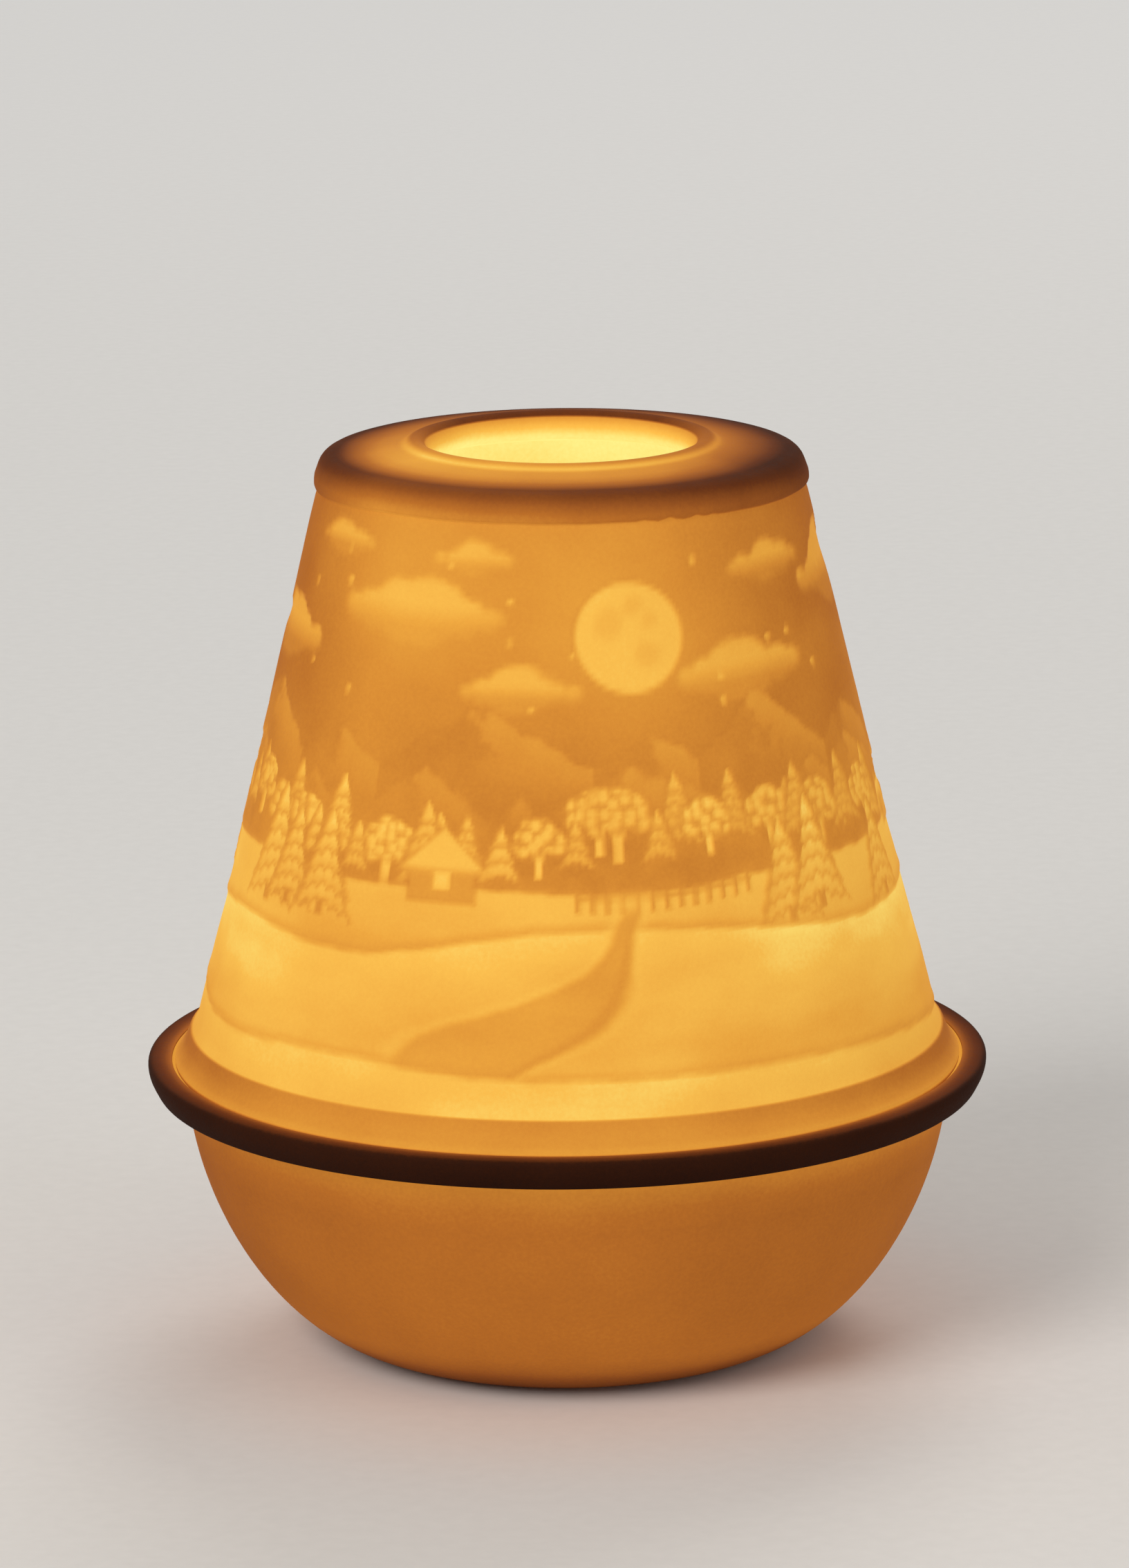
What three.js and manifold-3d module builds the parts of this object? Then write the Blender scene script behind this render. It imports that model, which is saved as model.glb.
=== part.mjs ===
// A small porcelain lamp: a bowl with a wide flange, a tapered picture shade that stands in it,
// and a battery light unit that stands loose in the bowl under the shade.
// Millimetres, +Z up, the front is -Y, and the origin is the middle of the bowl's foot.

import * as THREE from "three";
import { mergeVertices } from "three/addons/utils/BufferGeometryUtils.js";
import Module from "manifold-3d";

// Clearances
const fitGap = 0.3; // between a piece and what carries it
const cutOverrun = 1; // how far a cutter runs past the face that it cuts

// Bowl, thrown porcelain with a foot ring, a swelling wall and a flat flange
const bowlFootRadius = 25;
const bowlFootRingWidth = 5.5;
const bowlFootRecess = 1.1;
const bowlShoulderRadius = 49.9; // where the wall meets the underside of the flange
const bowlShoulderHeight = 34.3;
const bowlWall = 3.8;
const bowlFloor = 4.8;
const bowlFloorRadius = 29.5;
const bowlSwellShares = [1.67, 1.85]; // how full the wall's curve is at its shoulder and at its foot

// Flange of the bowl, with the rebate that the shade stands in
const flangeRadius = 55;
const flangeThickness = 3.9;
const flangeUndercut = 1.2; // how far the outer face leans in at its foot
const flangeUpright = 1.6; // the upright part of the outer face
const flangeEdge = 0.7; // rounding of its edges
const rebateDepth = 1.9;
const rebateGap = 0.4; // between the foot of the shade and the side of the rebate

// Seat ring, soft and flat, between the two porcelain pieces
const seatRingThickness = 0.6;
const seatRingInset = 0.8; // how far its edges stay inside the foot of the shade

// Shade, a tapered lithophane with a flared plain foot and a collar round an open top
const shadeFootRadius = 51.45;
const shadeFootWidth = 4.85;
const shadeFootEdge = 0.95; // upright edge under the flare
const shadeBorderRadius = 49.5;
const shadeBorderHeight = 4.35;
const shadeFlareShares = [0.34, 0.36]; // where the flare's curve is pulled to, out and up
const pictureRecess = 0.45; // the picture lies back from the plain border and from the collar
const pictureStep = 0.25; // height of the sloping step at each end of the picture
const pictureTopRadius = 31.45;
const pictureTopHeight = 77;
const shadeWall = 2.6;
const collarRadius = 32;
const collarShoulderRadius = 31;
const collarShoulderRise = 3.5;
const collarRounding = 1.6;
const topPlateRadius = 29; // the darkest line of the shoulder, where the top begins
const topPlateRise = 0.35;
const topThickness = 2.9;
const mouthBeadRadius = 20.2;
const mouthBeadRise = 1.05;
const mouthRadius = 16.9;
const shadeHeight = 82.5;
const mouthRounding = 1.1;
const mouthCrestWidth = 1.6; // the highest part of the bead round the mouth

// Light unit, a round battery lamp that stands in a shallow recess in the floor of the bowl
const unitRadius = 26;
const unitHeight = 20; // from under its feet to the top of its shell
const unitRecess = 0.6; // depth of the recess in the bowl
const unitRecessGap = 0.6;
const unitWall = 1.8;
const unitEdge = 2.2; // rounding of the shell's top edge
const footPadRadius = 3.5;
const footPadHeight = 1;
const footPadCircle = 20;
const coverThickness = 1.8;
const coverLipHeight = 1.8;
const coverLipWidth = 1.7;
const coverEdge = 0.8;

// Screws and the bosses of the shell that they hold
const screwCircle = 21.9;
const screwRadius = 1.05;
const screwHeadRadius = 2.4;
const screwHeadHeight = 0.8;
const screwLength = 8.5;
const screwSlotWidth = 0.7;
const screwSlotDepth = 0.4;
const bossRadius = 2.6;

// Diffuser dome and the light opening under it
const domeRadius = 16.6;
const domeHeight = 19.7;
const domeWall = 1.4;
const domeSeatDepth = 0.8;
const domeFootHeight = 1.6; // upright part of the dome above its seat
const lightOpeningRadius = 13;
const reflectorThickness = 1.2;
const reflectorFlare = 1.3; // how much its inner face opens towards the top

// Circuit board and what it carries
const boardRadius = 22.6;
const boardThickness = 1.2;
const boardTop = 14.2; // above the underside of the unit's feet
const ledCircle = 7;
const ledSide = 2.8;
const ledHeight = 1.2;
const inductorSide = 5;
const inductorHeight = 2.4;
const inductorCircle = 17.5;
const chipLength = 5;
const chipWidth = 4;
const chipHeight = 1.1;
const partEdge = 0.4; // small bevel of the board's parts
const postRadius = 1.8;
const postCircle = 16;

// Battery under the board
const batteryLength = 28;
const batteryWidth = 18;
const batteryThickness = 6;
const batteryEdge = 1.2;
const padThickness = 0.6;
const padInset = 2;
const leadRadius = 0.6;
const leadSpacing = 4;
const leadReach = 3.2; // how far the leads bow out from the end of the battery

// Charging socket in the side of the unit
const socketLength = 7;
const socketWidth = 9;
const socketHeight = 3.2;
const socketWall = 0.35;
const socketSetBack = 0.6; // of its mouth from the outside of the shell
const socketTongueThickness = 0.7;
const socketTongueLength = 4.6;
const socketTongueMargin = 1.3;
const socketRounding = 1.5;

// Push button, the switch under it and the small light beside it
const buttonCircle = 20.3;
const buttonRadius = 2.4;
const buttonProud = 1.3;
const buttonFlangeRadius = 3;
const buttonFlangeThickness = 0.6;
const buttonStemRadius = 0.9;
const buttonEdge = 0.5;
const switchSide = 5;
const switchHeight = 1.7;
const switchWellDepth = 1.3;
const stemReach = 0.3; // how far the stem reaches into the switch at rest
const pipeRadius = 1.2;
const pipeProud = 0.2;
const statusLedSide = 1.6;
const statusLedHeight = 0.8;

// Places round the light unit, in degrees from +X
const screwAngles = [90, 210, 330];
const footPadAngles = [30, 150, 270];
const postAngles = [45, 135, 225, 315];
const ledAngles = [0, 60, 120, 180, 240, 300];
const buttonAngle = 270;
const pipeAngle = 250;
const inductorAngle = 180;
const chipAngle = 135;

// How finely round things are divided
const ringSides = 52;
const unitSides = 36;
const smallSides = 16;
const wireSides = 6;
const wallSteps = 10;
const roundSteps = 3;
const domeSteps = 7;

const quarterTurn = Math.PI / 2;
const fullTurn = Math.PI * 2;

// Heights and radii that follow from the sizes above
const flangeTop = bowlShoulderHeight + flangeThickness;
const ledgeHeight = flangeTop - rebateDepth;
const rebateRadius = shadeFootRadius + rebateGap;
const bowlMouthRadius = bowlShoulderRadius - bowlWall;
const unitRecessRadius = unitRadius + unitRecessGap;
const shadeFootInnerRadius = shadeFootRadius - shadeFootWidth;
const plateUnderside = unitHeight - unitWall;
const coverBottom = footPadHeight + fitGap;
const coverTop = coverBottom + coverThickness;
const shellBottom = coverTop + fitGap;
const shellInnerRadius = unitRadius - unitWall;
const boardUnderside = boardTop - boardThickness;
const onBoard = boardTop + fitGap;

const wasm = await Module();
wasm.setup();

// A closed geometry as a solid that can be joined and cut.
function solidOf(geometry) {
  const plain = geometry.clone();
  plain.deleteAttribute("normal");
  plain.deleteAttribute("uv");
  const merged = mergeVertices(plain);
  const mesh = new wasm.Mesh({
    numProp: 3,
    vertProperties: merged.attributes.position.array,
    triVerts: new Uint32Array(merged.index.array),
  });
  return new wasm.Manifold(mesh);
}

function geometryOf(solid) {
  const mesh = solid.getMesh();
  const geometry = new THREE.BufferGeometry();
  geometry.setAttribute("position", new THREE.BufferAttribute(mesh.vertProperties, 3));
  geometry.setIndex(new THREE.BufferAttribute(mesh.triVerts, 1));
  geometry.computeVertexNormals();
  return geometry;
}

// Takes the cutters away from the body.
function cut(body, ...cutters) {
  const rest = cutters.reduce((solid, cutter) => solid.subtract(solidOf(cutter)), solidOf(body));
  return geometryOf(rest);
}

// Makes one body of pieces that reach into each other.
function join(...pieces) {
  const whole = pieces.map(solidOf).reduce((solid, piece) => solid.add(piece));
  return geometryOf(whole);
}

// Swaps each corner [radius, height, rounding] for a short curve, no longer than its two sides allow.
function rounded(corners) {
  return corners.flatMap(([radius, height, rounding], i) => {
    if (!rounding) return [[radius, height]];
    const corner = new THREE.Vector2(radius, height);
    const reach = (other) => {
      const side = new THREE.Vector2(other[0], other[1]).sub(corner);
      return corner.clone().add(side.setLength(Math.min(rounding, side.length() / 2)));
    };
    const start = reach(corners.at(i - 1));
    const end = reach(corners[(i + 1) % corners.length]);
    const bend = new THREE.QuadraticBezierCurve(start, corner, end);
    return bend.getPoints(roundSteps).map((point) => [point.x, point.y]);
  });
}

// Turns a half outline of [radius, height, rounding] corners round the Z axis. An outline that
// doesn't start and end on the axis is closed back to its first point.
function turned(corners, sides) {
  const points = rounded(corners).map(([radius, height]) => new THREE.Vector2(radius, height));
  const onAxis = points[0].x === 0 && points.at(-1).x === 0;
  if (!onAxis) points.push(points[0].clone());
  if (THREE.ShapeUtils.area(points) < 0) points.reverse();
  return new THREE.LatheGeometry(points, sides).rotateX(quarterTurn);
}

// A round rod that stands on the given height.
function rod(radius, bottom, top, sides = smallSides) {
  return turned([[0, bottom], [radius, bottom], [radius, top], [0, top]], sides);
}

// A box with bevelled upright edges that stands on the given height, its middle on the Z axis.
function block(length, width, bottom, top, bevel = 0) {
  const x = length / 2;
  const y = width / 2;
  const corners = [[-x, -y + bevel], [-x + bevel, -y], [x - bevel, -y], [x, -y + bevel]];
  corners.push([x, y - bevel], [x - bevel, y], [-x + bevel, y], [-x, y - bevel]);
  const kept = corners.filter((point, i) => {
    const next = corners[(i + 1) % corners.length];
    return point[0] !== next[0] || point[1] !== next[1];
  });
  const outline = new THREE.Shape(kept.map((point) => new THREE.Vector2(...point)));
  const solid = new THREE.ExtrudeGeometry(outline, { depth: top - bottom, bevelEnabled: false });
  return solid.translate(0, 0, bottom);
}

// The point at an angle on a circle round the Z axis.
function onCircle(radius, degrees) {
  const angle = THREE.MathUtils.degToRad(degrees);
  return [radius * Math.cos(angle), radius * Math.sin(angle)];
}

// A copy of a shape moved out to an angle on a circle.
function placed(geometry, radius, degrees) {
  return geometry.clone().translate(...onCircle(radius, degrees), 0);
}

function finish(color, roughness, metalness = 0) {
  return new THREE.MeshStandardMaterial({ color, roughness, metalness });
}

const materials = {
  bowlPorcelain: finish(0xb9732f, 0.75),
  shadePorcelain: finish(0xe6a347, 0.75),
  silicone: finish(0xcfc7ba, 0.8),
  whiteShell: finish(0xe9e5dc, 0.5),
  frosted: finish(0xfff1cf, 0.35),
  reflectorWhite: finish(0xf4f2ec, 0.4),
  boardGreen: finish(0x1f5a3a, 0.55),
  ledYellow: finish(0xf2c84b, 0.4),
  blackPlastic: finish(0x1c1c1e, 0.5),
  ferrite: finish(0x4a4743, 0.6),
  batteryFoil: finish(0x9aa3ad, 0.35, 0.3),
  foam: finish(0x3b3b3d, 0.95),
  brass: finish(0xb08d4a, 0.35, 0.9),
  steel: finish(0xa9abad, 0.3, 0.9),
  rubber: finish(0x2b2a29, 0.85),
  clear: finish(0xdfe8ea, 0.15),
  redLead: finish(0xa32a22, 0.5),
  blackLead: finish(0x202021, 0.5),
};

function piece(name, geometry, material) {
  const mesh = new THREE.Mesh(geometry, material);
  mesh.name = name;
  return mesh;
}

// One half outline of a swelling wall, from its foot to its shoulder, without its two end points.
function swellingWall(foot, shoulder) {
  const [shoulderShare, footShare] = bowlSwellShares;
  return Array.from({ length: wallSteps - 1 }, (_, i) => {
    const rise = 1 - Math.cos((quarterTurn * (i + 1)) / wallSteps);
    const swell = (1 - (1 - rise) ** shoulderShare) ** (1 / footShare);
    return [foot[0] + (shoulder[0] - foot[0]) * swell, foot[1] + (shoulder[1] - foot[1]) * rise];
  });
}

function makeBowl() {
  const footRingInside = bowlFootRadius - bowlFootRingWidth;
  const outerFoot = [bowlFootRadius, 0];
  const outerShoulder = [bowlShoulderRadius, bowlShoulderHeight];
  const innerFoot = [bowlFloorRadius, bowlFloor];
  const innerShoulder = [bowlMouthRadius, ledgeHeight];
  const outline = [
    [0, bowlFootRecess],
    [footRingInside, bowlFootRecess],
    [footRingInside, 0],
    outerFoot,
    ...swellingWall(outerFoot, outerShoulder),
    outerShoulder,
    [flangeRadius - flangeUndercut, bowlShoulderHeight, flangeEdge],
    [flangeRadius, flangeTop - flangeUpright, flangeEdge],
    [flangeRadius, flangeTop, flangeEdge],
    [rebateRadius, flangeTop],
    [rebateRadius, ledgeHeight],
    innerShoulder,
    ...swellingWall(innerFoot, innerShoulder).reverse(),
    innerFoot,
    [unitRecessRadius, bowlFloor],
    [unitRecessRadius, bowlFloor - unitRecess],
    [0, bowlFloor - unitRecess],
  ];
  return piece("bowl", turned(outline, ringSides), materials.bowlPorcelain);
}

function makeSeatRing() {
  const inner = shadeFootInnerRadius + seatRingInset;
  const outer = shadeFootRadius - seatRingInset;
  const outline = [[inner, 0], [outer, 0], [outer, seatRingThickness], [inner, seatRingThickness]];
  return piece("seat_ring", turned(outline, ringSides), materials.silicone);
}

// The plain foot flares out to its edge in a hollow curve.
function flareOfFoot() {
  const edge = new THREE.Vector2(shadeFootRadius, shadeFootEdge);
  const border = new THREE.Vector2(shadeBorderRadius, shadeBorderHeight);
  const pull = new THREE.Vector2(
    border.x + (edge.x - border.x) * shadeFlareShares[0],
    edge.y + (border.y - edge.y) * shadeFlareShares[1],
  );
  const flare = new THREE.QuadraticBezierCurve(edge, pull, border);
  return flare.getPoints(roundSteps + 1).map((point) => [point.x, point.y]);
}

function makeShade() {
  const pictureFootRadius = shadeBorderRadius - pictureRecess;
  const pictureFoot = [pictureFootRadius, shadeBorderHeight + pictureStep];
  const pictureTop = [pictureTopRadius, pictureTopHeight - pictureStep];
  const shoulder = pictureTopHeight + collarShoulderRise;
  const plate = shoulder + topPlateRise;
  const bead = plate + mouthBeadRise;
  const crest = (mouthBeadRadius + mouthRadius) / 2;
  const innerTopRadius = pictureTopRadius - shadeWall;
  const outline = [
    [shadeFootInnerRadius, 0],
    [shadeFootRadius, 0],
    ...flareOfFoot(),
    pictureFoot,
    pictureTop,
    [collarRadius, pictureTopHeight],
    [collarShoulderRadius, shoulder, collarRounding],
    [topPlateRadius, plate],
    [mouthBeadRadius, bead, mouthRounding],
    [crest + mouthCrestWidth / 2, shadeHeight, mouthRounding],
    [crest - mouthCrestWidth / 2, shadeHeight, mouthRounding],
    [mouthRadius, shadeHeight - mouthRounding, mouthRounding],
    [mouthRadius, plate - topThickness + mouthBeadRise, mouthRounding],
    [mouthBeadRadius, plate - topThickness],
    [innerTopRadius, plate - topThickness, collarRounding + shadeWall],
    [innerTopRadius, pictureTopHeight - topThickness],
    [pictureFootRadius - shadeWall, shadeBorderHeight],
  ];
  return piece("shade", turned(outline, ringSides), materials.shadePorcelain);
}

function makeUnitShell() {
  const shell = turned(
    [
      [unitRadius, shellBottom],
      [unitRadius, unitHeight, unitEdge],
      [domeRadius + fitGap, unitHeight],
      [domeRadius + fitGap, unitHeight - domeSeatDepth],
      [lightOpeningRadius, unitHeight - domeSeatDepth],
      [lightOpeningRadius, plateUnderside],
      [shellInnerRadius, plateUnderside],
      [shellInnerRadius, shellBottom],
    ],
    unitSides,
  );
  const bossFoot = coverTop + coverLipHeight + fitGap;
  const boss = rod(bossRadius, bossFoot, plateUnderside + unitWall / 2);
  const pilot = rod(screwRadius + fitGap, bossFoot - cutOverrun, bossFoot + screwLength);
  const plateHole = (radius) => rod(radius + fitGap, plateUnderside - cutOverrun, unitHeight + cutOverrun);
  const windowLow = boardUnderside - socketHeight - fitGap - fitGap;
  const socketWindow = block(
    unitWall * 2 + cutOverrun,
    socketWidth + fitGap * 2,
    windowLow,
    boardUnderside,
  );
  const body = cut(
    join(shell, ...screwAngles.map((angle) => placed(boss, screwCircle, angle))),
    ...screwAngles.map((angle) => placed(pilot, screwCircle, angle)),
    placed(plateHole(buttonRadius), buttonCircle, buttonAngle),
    placed(plateHole(pipeRadius), buttonCircle, pipeAngle),
    socketWindow.translate(unitRadius - unitWall / 2, 0, 0),
  );
  return piece("unit_shell", body, materials.whiteShell);
}

function makeUnitCover() {
  const lipRadius = shellInnerRadius - fitGap;
  const plate = turned(
    [
      [0, coverBottom],
      [unitRadius, coverBottom, coverEdge],
      [unitRadius, coverTop],
      [lipRadius, coverTop],
      [lipRadius, coverTop + coverLipHeight],
      [lipRadius - coverLipWidth, coverTop + coverLipHeight],
      [lipRadius - coverLipWidth, coverTop],
      [0, coverTop],
    ],
    unitSides,
  );
  const headTop = coverBottom + screwHeadHeight + fitGap;
  const lipTop = coverTop + coverLipHeight + cutOverrun;
  const wells = screwAngles.flatMap((angle) => [
    placed(rod(screwHeadRadius + fitGap, coverBottom - cutOverrun, headTop), screwCircle, angle),
    placed(rod(screwRadius + fitGap, coverBottom - cutOverrun, lipTop), screwCircle, angle),
  ]);
  return piece("unit_cover", cut(plate, ...wells), materials.whiteShell);
}

function makeScrew(name, angle) {
  const headTop = coverBottom + screwHeadHeight;
  const screw = turned(
    [
      [0, coverBottom],
      [screwHeadRadius, coverBottom],
      [screwHeadRadius, headTop],
      [screwRadius, headTop],
      [screwRadius, headTop + screwLength],
      [0, headTop + screwLength],
    ],
    smallSides,
  );
  const slotLength = (screwHeadRadius + cutOverrun) * 2;
  const slotTop = coverBottom + screwSlotDepth;
  const slot = block(slotLength, screwSlotWidth, coverBottom - cutOverrun, slotTop);
  return piece(name, placed(cut(screw, slot), screwCircle, angle), materials.steel);
}

function makeFootPad(name, angle) {
  const pad = rod(footPadRadius, 0, footPadHeight);
  return piece(name, placed(pad, footPadCircle, angle), materials.rubber);
}

// Half outline of the dome at a distance inside its outer face: upright at its foot, round above.
function domeOutline(inset) {
  const radius = domeRadius - inset;
  const foot = unitHeight - domeSeatDepth + fitGap;
  const spring = unitHeight + domeFootHeight;
  const top = foot + domeHeight - inset;
  const round = Array.from({ length: domeSteps + 1 }, (_, i) => {
    const angle = (quarterTurn * i) / domeSteps;
    const reach = i === domeSteps ? 0 : Math.cos(angle);
    return [radius * reach, spring + (top - spring) * Math.sin(angle)];
  });
  return [[radius, foot], ...round];
}

function makeDome() {
  const outline = [...domeOutline(0), ...domeOutline(domeWall).reverse()];
  return piece("diffuser_dome", turned(outline, unitSides), materials.frosted);
}

function makeReflector() {
  const outer = lightOpeningRadius - fitGap;
  const top = unitHeight - domeSeatDepth;
  const outline = [
    [outer - reflectorThickness - reflectorFlare, onBoard],
    [outer, onBoard],
    [outer, top],
    [outer - reflectorThickness, top],
  ];
  return piece("reflector", turned(outline, unitSides), materials.reflectorWhite);
}

function makeBoard() {
  const disc = rod(boardRadius, boardUnderside, boardTop, unitSides);
  const notch = rod(bossRadius + fitGap, boardUnderside - cutOverrun, boardTop + cutOverrun);
  const notches = screwAngles.map((angle) => placed(notch, screwCircle, angle));
  return piece("circuit_board", cut(disc, ...notches), materials.boardGreen);
}

function makeLed(name, angle) {
  const led = block(ledSide, ledSide, onBoard, onBoard + ledHeight, partEdge);
  return piece(name, placed(led, ledCircle, angle), materials.ledYellow);
}

function makePost(name, angle) {
  const post = rod(postRadius, coverTop + fitGap, boardUnderside - fitGap);
  return piece(name, placed(post, postCircle, angle), materials.brass);
}

function makeBatteryPad() {
  const bottom = coverTop + fitGap;
  const length = batteryLength - padInset;
  const pad = block(length, batteryWidth - padInset, bottom, bottom + padThickness);
  return piece("battery_pad", pad, materials.foam);
}

// The underside of the battery, on its pad.
const batteryBottom = coverTop + padThickness + fitGap * 2;

function makeBattery() {
  const top = batteryBottom + batteryThickness;
  const cell = block(batteryLength, batteryWidth, batteryBottom, top, batteryEdge);
  return piece("battery", cell, materials.batteryFoil);
}

// A lead bows out from the end of the battery and up to the underside of the board.
function makeLead(name, side, material) {
  const y = (side * leadSpacing) / 2;
  const start = -batteryLength / 2 - fitGap;
  const low = batteryBottom + batteryThickness / 2;
  const high = boardUnderside - fitGap;
  const path = new THREE.CubicBezierCurve3(
    new THREE.Vector3(start, y, low),
    new THREE.Vector3(start - leadReach, y, low),
    new THREE.Vector3(start - leadReach, y, low),
    new THREE.Vector3(start - leadReach, y, high),
  );
  const section = new THREE.Shape().absarc(0, 0, leadRadius, 0, fullTurn);
  const options = { steps: wireSides, curveSegments: wireSides, extrudePath: path };
  return piece(name, new THREE.ExtrudeGeometry(section, options), material);
}

// A flat rounded sleeve, open at its mouth, with a thin tongue in its middle.
function makeChargeSocket() {
  const top = boardUnderside - fitGap;
  const middle = top - socketHeight / 2;
  const sleeveOf = (inset, length) => {
    const x = socketWidth / 2 - inset;
    const y = socketHeight / 2 - inset;
    const corner = Math.min(socketRounding, socketHeight / 2) - inset;
    const outline = new THREE.Shape();
    outline.absarc(x - corner, y - corner, corner, 0, quarterTurn);
    outline.absarc(corner - x, y - corner, corner, quarterTurn, quarterTurn * 2);
    outline.absarc(corner - x, corner - y, corner, quarterTurn * 2, quarterTurn * 3);
    outline.absarc(x - corner, corner - y, corner, quarterTurn * 3, fullTurn);
    const options = { depth: length, bevelEnabled: false, curveSegments: roundSteps };
    return new THREE.ExtrudeGeometry(outline, options);
  };
  const sleeve = cut(
    sleeveOf(0, socketLength),
    sleeveOf(socketWall, socketLength).translate(0, 0, socketWall * 2),
  );
  const tongueWidth = socketWidth - socketTongueMargin * 2;
  const tongue = block(tongueWidth, socketTongueThickness, socketWall, socketTongueLength + socketWall);
  const mouth = unitRadius - socketSetBack;
  const socket = join(sleeve, tongue);
  socket.rotateX(quarterTurn);
  socket.rotateZ(quarterTurn);
  socket.translate(mouth - socketLength, 0, middle);
  return piece("charge_socket", socket, materials.steel);
}

function makeSwitch() {
  const top = onBoard + switchHeight;
  const body = block(switchSide, switchSide, onBoard, top, partEdge);
  const well = rod(buttonStemRadius + fitGap, top - switchWellDepth, top + cutOverrun);
  return piece("switch_body", placed(cut(body, well), buttonCircle, buttonAngle), materials.blackPlastic);
}

function makeButton() {
  const flangeUp = plateUnderside - fitGap;
  const flangeLow = flangeUp - buttonFlangeThickness;
  const stemLow = onBoard + switchHeight - stemReach;
  const button = turned(
    [
      [0, stemLow],
      [buttonStemRadius, stemLow],
      [buttonStemRadius, flangeLow],
      [buttonFlangeRadius, flangeLow],
      [buttonFlangeRadius, flangeUp],
      [buttonRadius, flangeUp],
      [buttonRadius, unitHeight + buttonProud, buttonEdge],
      [0, unitHeight + buttonProud],
    ],
    smallSides,
  );
  return piece("power_button", placed(button, buttonCircle, buttonAngle), materials.blackPlastic);
}

function makeLightPipe() {
  const pipe = rod(pipeRadius, onBoard + statusLedHeight + fitGap, unitHeight + pipeProud);
  return piece("light_pipe", placed(pipe, buttonCircle, pipeAngle), materials.clear);
}

function makeStatusLed() {
  const led = block(statusLedSide, statusLedSide, onBoard, onBoard + statusLedHeight);
  return piece("status_led", placed(led, buttonCircle, pipeAngle), materials.ledYellow);
}

function makeInductor() {
  const coil = block(inductorSide, inductorSide, onBoard, onBoard + inductorHeight, partEdge);
  return piece("inductor", placed(coil, inductorCircle, inductorAngle), materials.ferrite);
}

function makeChip() {
  const chip = block(chipLength, chipWidth, onBoard, onBoard + chipHeight, partEdge);
  return piece("charge_chip", placed(chip, inductorCircle, chipAngle), materials.blackPlastic);
}

function makeLightUnit() {
  const unit = new THREE.Group();
  unit.add(makeUnitShell(), makeUnitCover(), makeDome(), makeReflector(), makeBoard());
  unit.add(makeBatteryPad(), makeBattery(), makeChargeSocket(), makeSwitch(), makeButton());
  unit.add(makeLightPipe(), makeStatusLed(), makeInductor(), makeChip());
  unit.add(makeLead("lead_red", 1, materials.redLead));
  unit.add(makeLead("lead_black", -1, materials.blackLead));
  ledAngles.forEach((angle, i) => unit.add(makeLed(`led_${i + 1}`, angle)));
  postAngles.forEach((angle, i) => unit.add(makePost(`board_post_${i + 1}`, angle)));
  screwAngles.forEach((angle, i) => unit.add(makeScrew(`case_screw_${i + 1}`, angle)));
  footPadAngles.forEach((angle, i) => unit.add(makeFootPad(`unit_foot_${i + 1}`, angle)));
  return unit;
}

const lamp = new THREE.Group();
const seatRing = makeSeatRing();
const shade = makeShade();
const lightUnit = makeLightUnit();
seatRing.position.z = ledgeHeight + fitGap;
shade.position.z = seatRing.position.z + seatRingThickness + fitGap;
lightUnit.position.z = bowlFloor - unitRecess + fitGap;
lamp.add(makeBowl(), seatRing, shade, lightUnit);

export default lamp;
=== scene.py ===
# %% [markdown]
# # A porcelain picture lamp, dressed for its portrait
#
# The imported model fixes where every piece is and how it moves. This script only adds the looks: fine
# turned meshes for the porcelain, moulded plastic for the light unit inside it, and a material for each
# of them.

# %% Load the frame
from math import cos, pi, radians, sin

import bmesh
import bpy
import numpy as np
from mathutils import Matrix, Vector


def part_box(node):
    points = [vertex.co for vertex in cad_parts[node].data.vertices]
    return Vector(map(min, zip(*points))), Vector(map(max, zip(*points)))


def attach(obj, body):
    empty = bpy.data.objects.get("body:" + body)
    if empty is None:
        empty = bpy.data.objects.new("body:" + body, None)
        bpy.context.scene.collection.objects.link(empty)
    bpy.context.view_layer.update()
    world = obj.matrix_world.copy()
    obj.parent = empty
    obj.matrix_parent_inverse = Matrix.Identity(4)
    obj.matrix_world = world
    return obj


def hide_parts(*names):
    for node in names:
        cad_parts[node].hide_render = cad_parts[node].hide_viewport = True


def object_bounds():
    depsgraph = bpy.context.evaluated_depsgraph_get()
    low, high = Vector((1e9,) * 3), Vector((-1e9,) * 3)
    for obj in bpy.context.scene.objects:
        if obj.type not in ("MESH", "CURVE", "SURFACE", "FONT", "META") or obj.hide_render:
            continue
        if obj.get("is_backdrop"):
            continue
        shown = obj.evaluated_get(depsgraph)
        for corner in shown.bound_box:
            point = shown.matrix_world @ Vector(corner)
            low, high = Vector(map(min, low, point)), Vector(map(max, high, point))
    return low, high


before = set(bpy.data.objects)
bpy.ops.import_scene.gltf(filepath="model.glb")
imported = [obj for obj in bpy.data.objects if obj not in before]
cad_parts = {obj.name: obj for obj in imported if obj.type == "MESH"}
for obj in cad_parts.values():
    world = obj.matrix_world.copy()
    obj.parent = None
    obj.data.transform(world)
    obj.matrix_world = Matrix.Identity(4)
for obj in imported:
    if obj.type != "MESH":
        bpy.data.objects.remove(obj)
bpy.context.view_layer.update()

# %% [markdown]
# ## Units and measures
#
# Blender works in metres and a potter in millimetres, so lengths here are written as a number times MM.
# Sizes that the frame can tell are read from it, so that each dressed piece keeps to the solid that it
# stands for.

# %% Measures from the frame
MM = 0.001

bowl_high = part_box("bowl")[1]
shade_low, shade_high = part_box("shade")
ring_low, ring_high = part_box("seat_ring")

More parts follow.
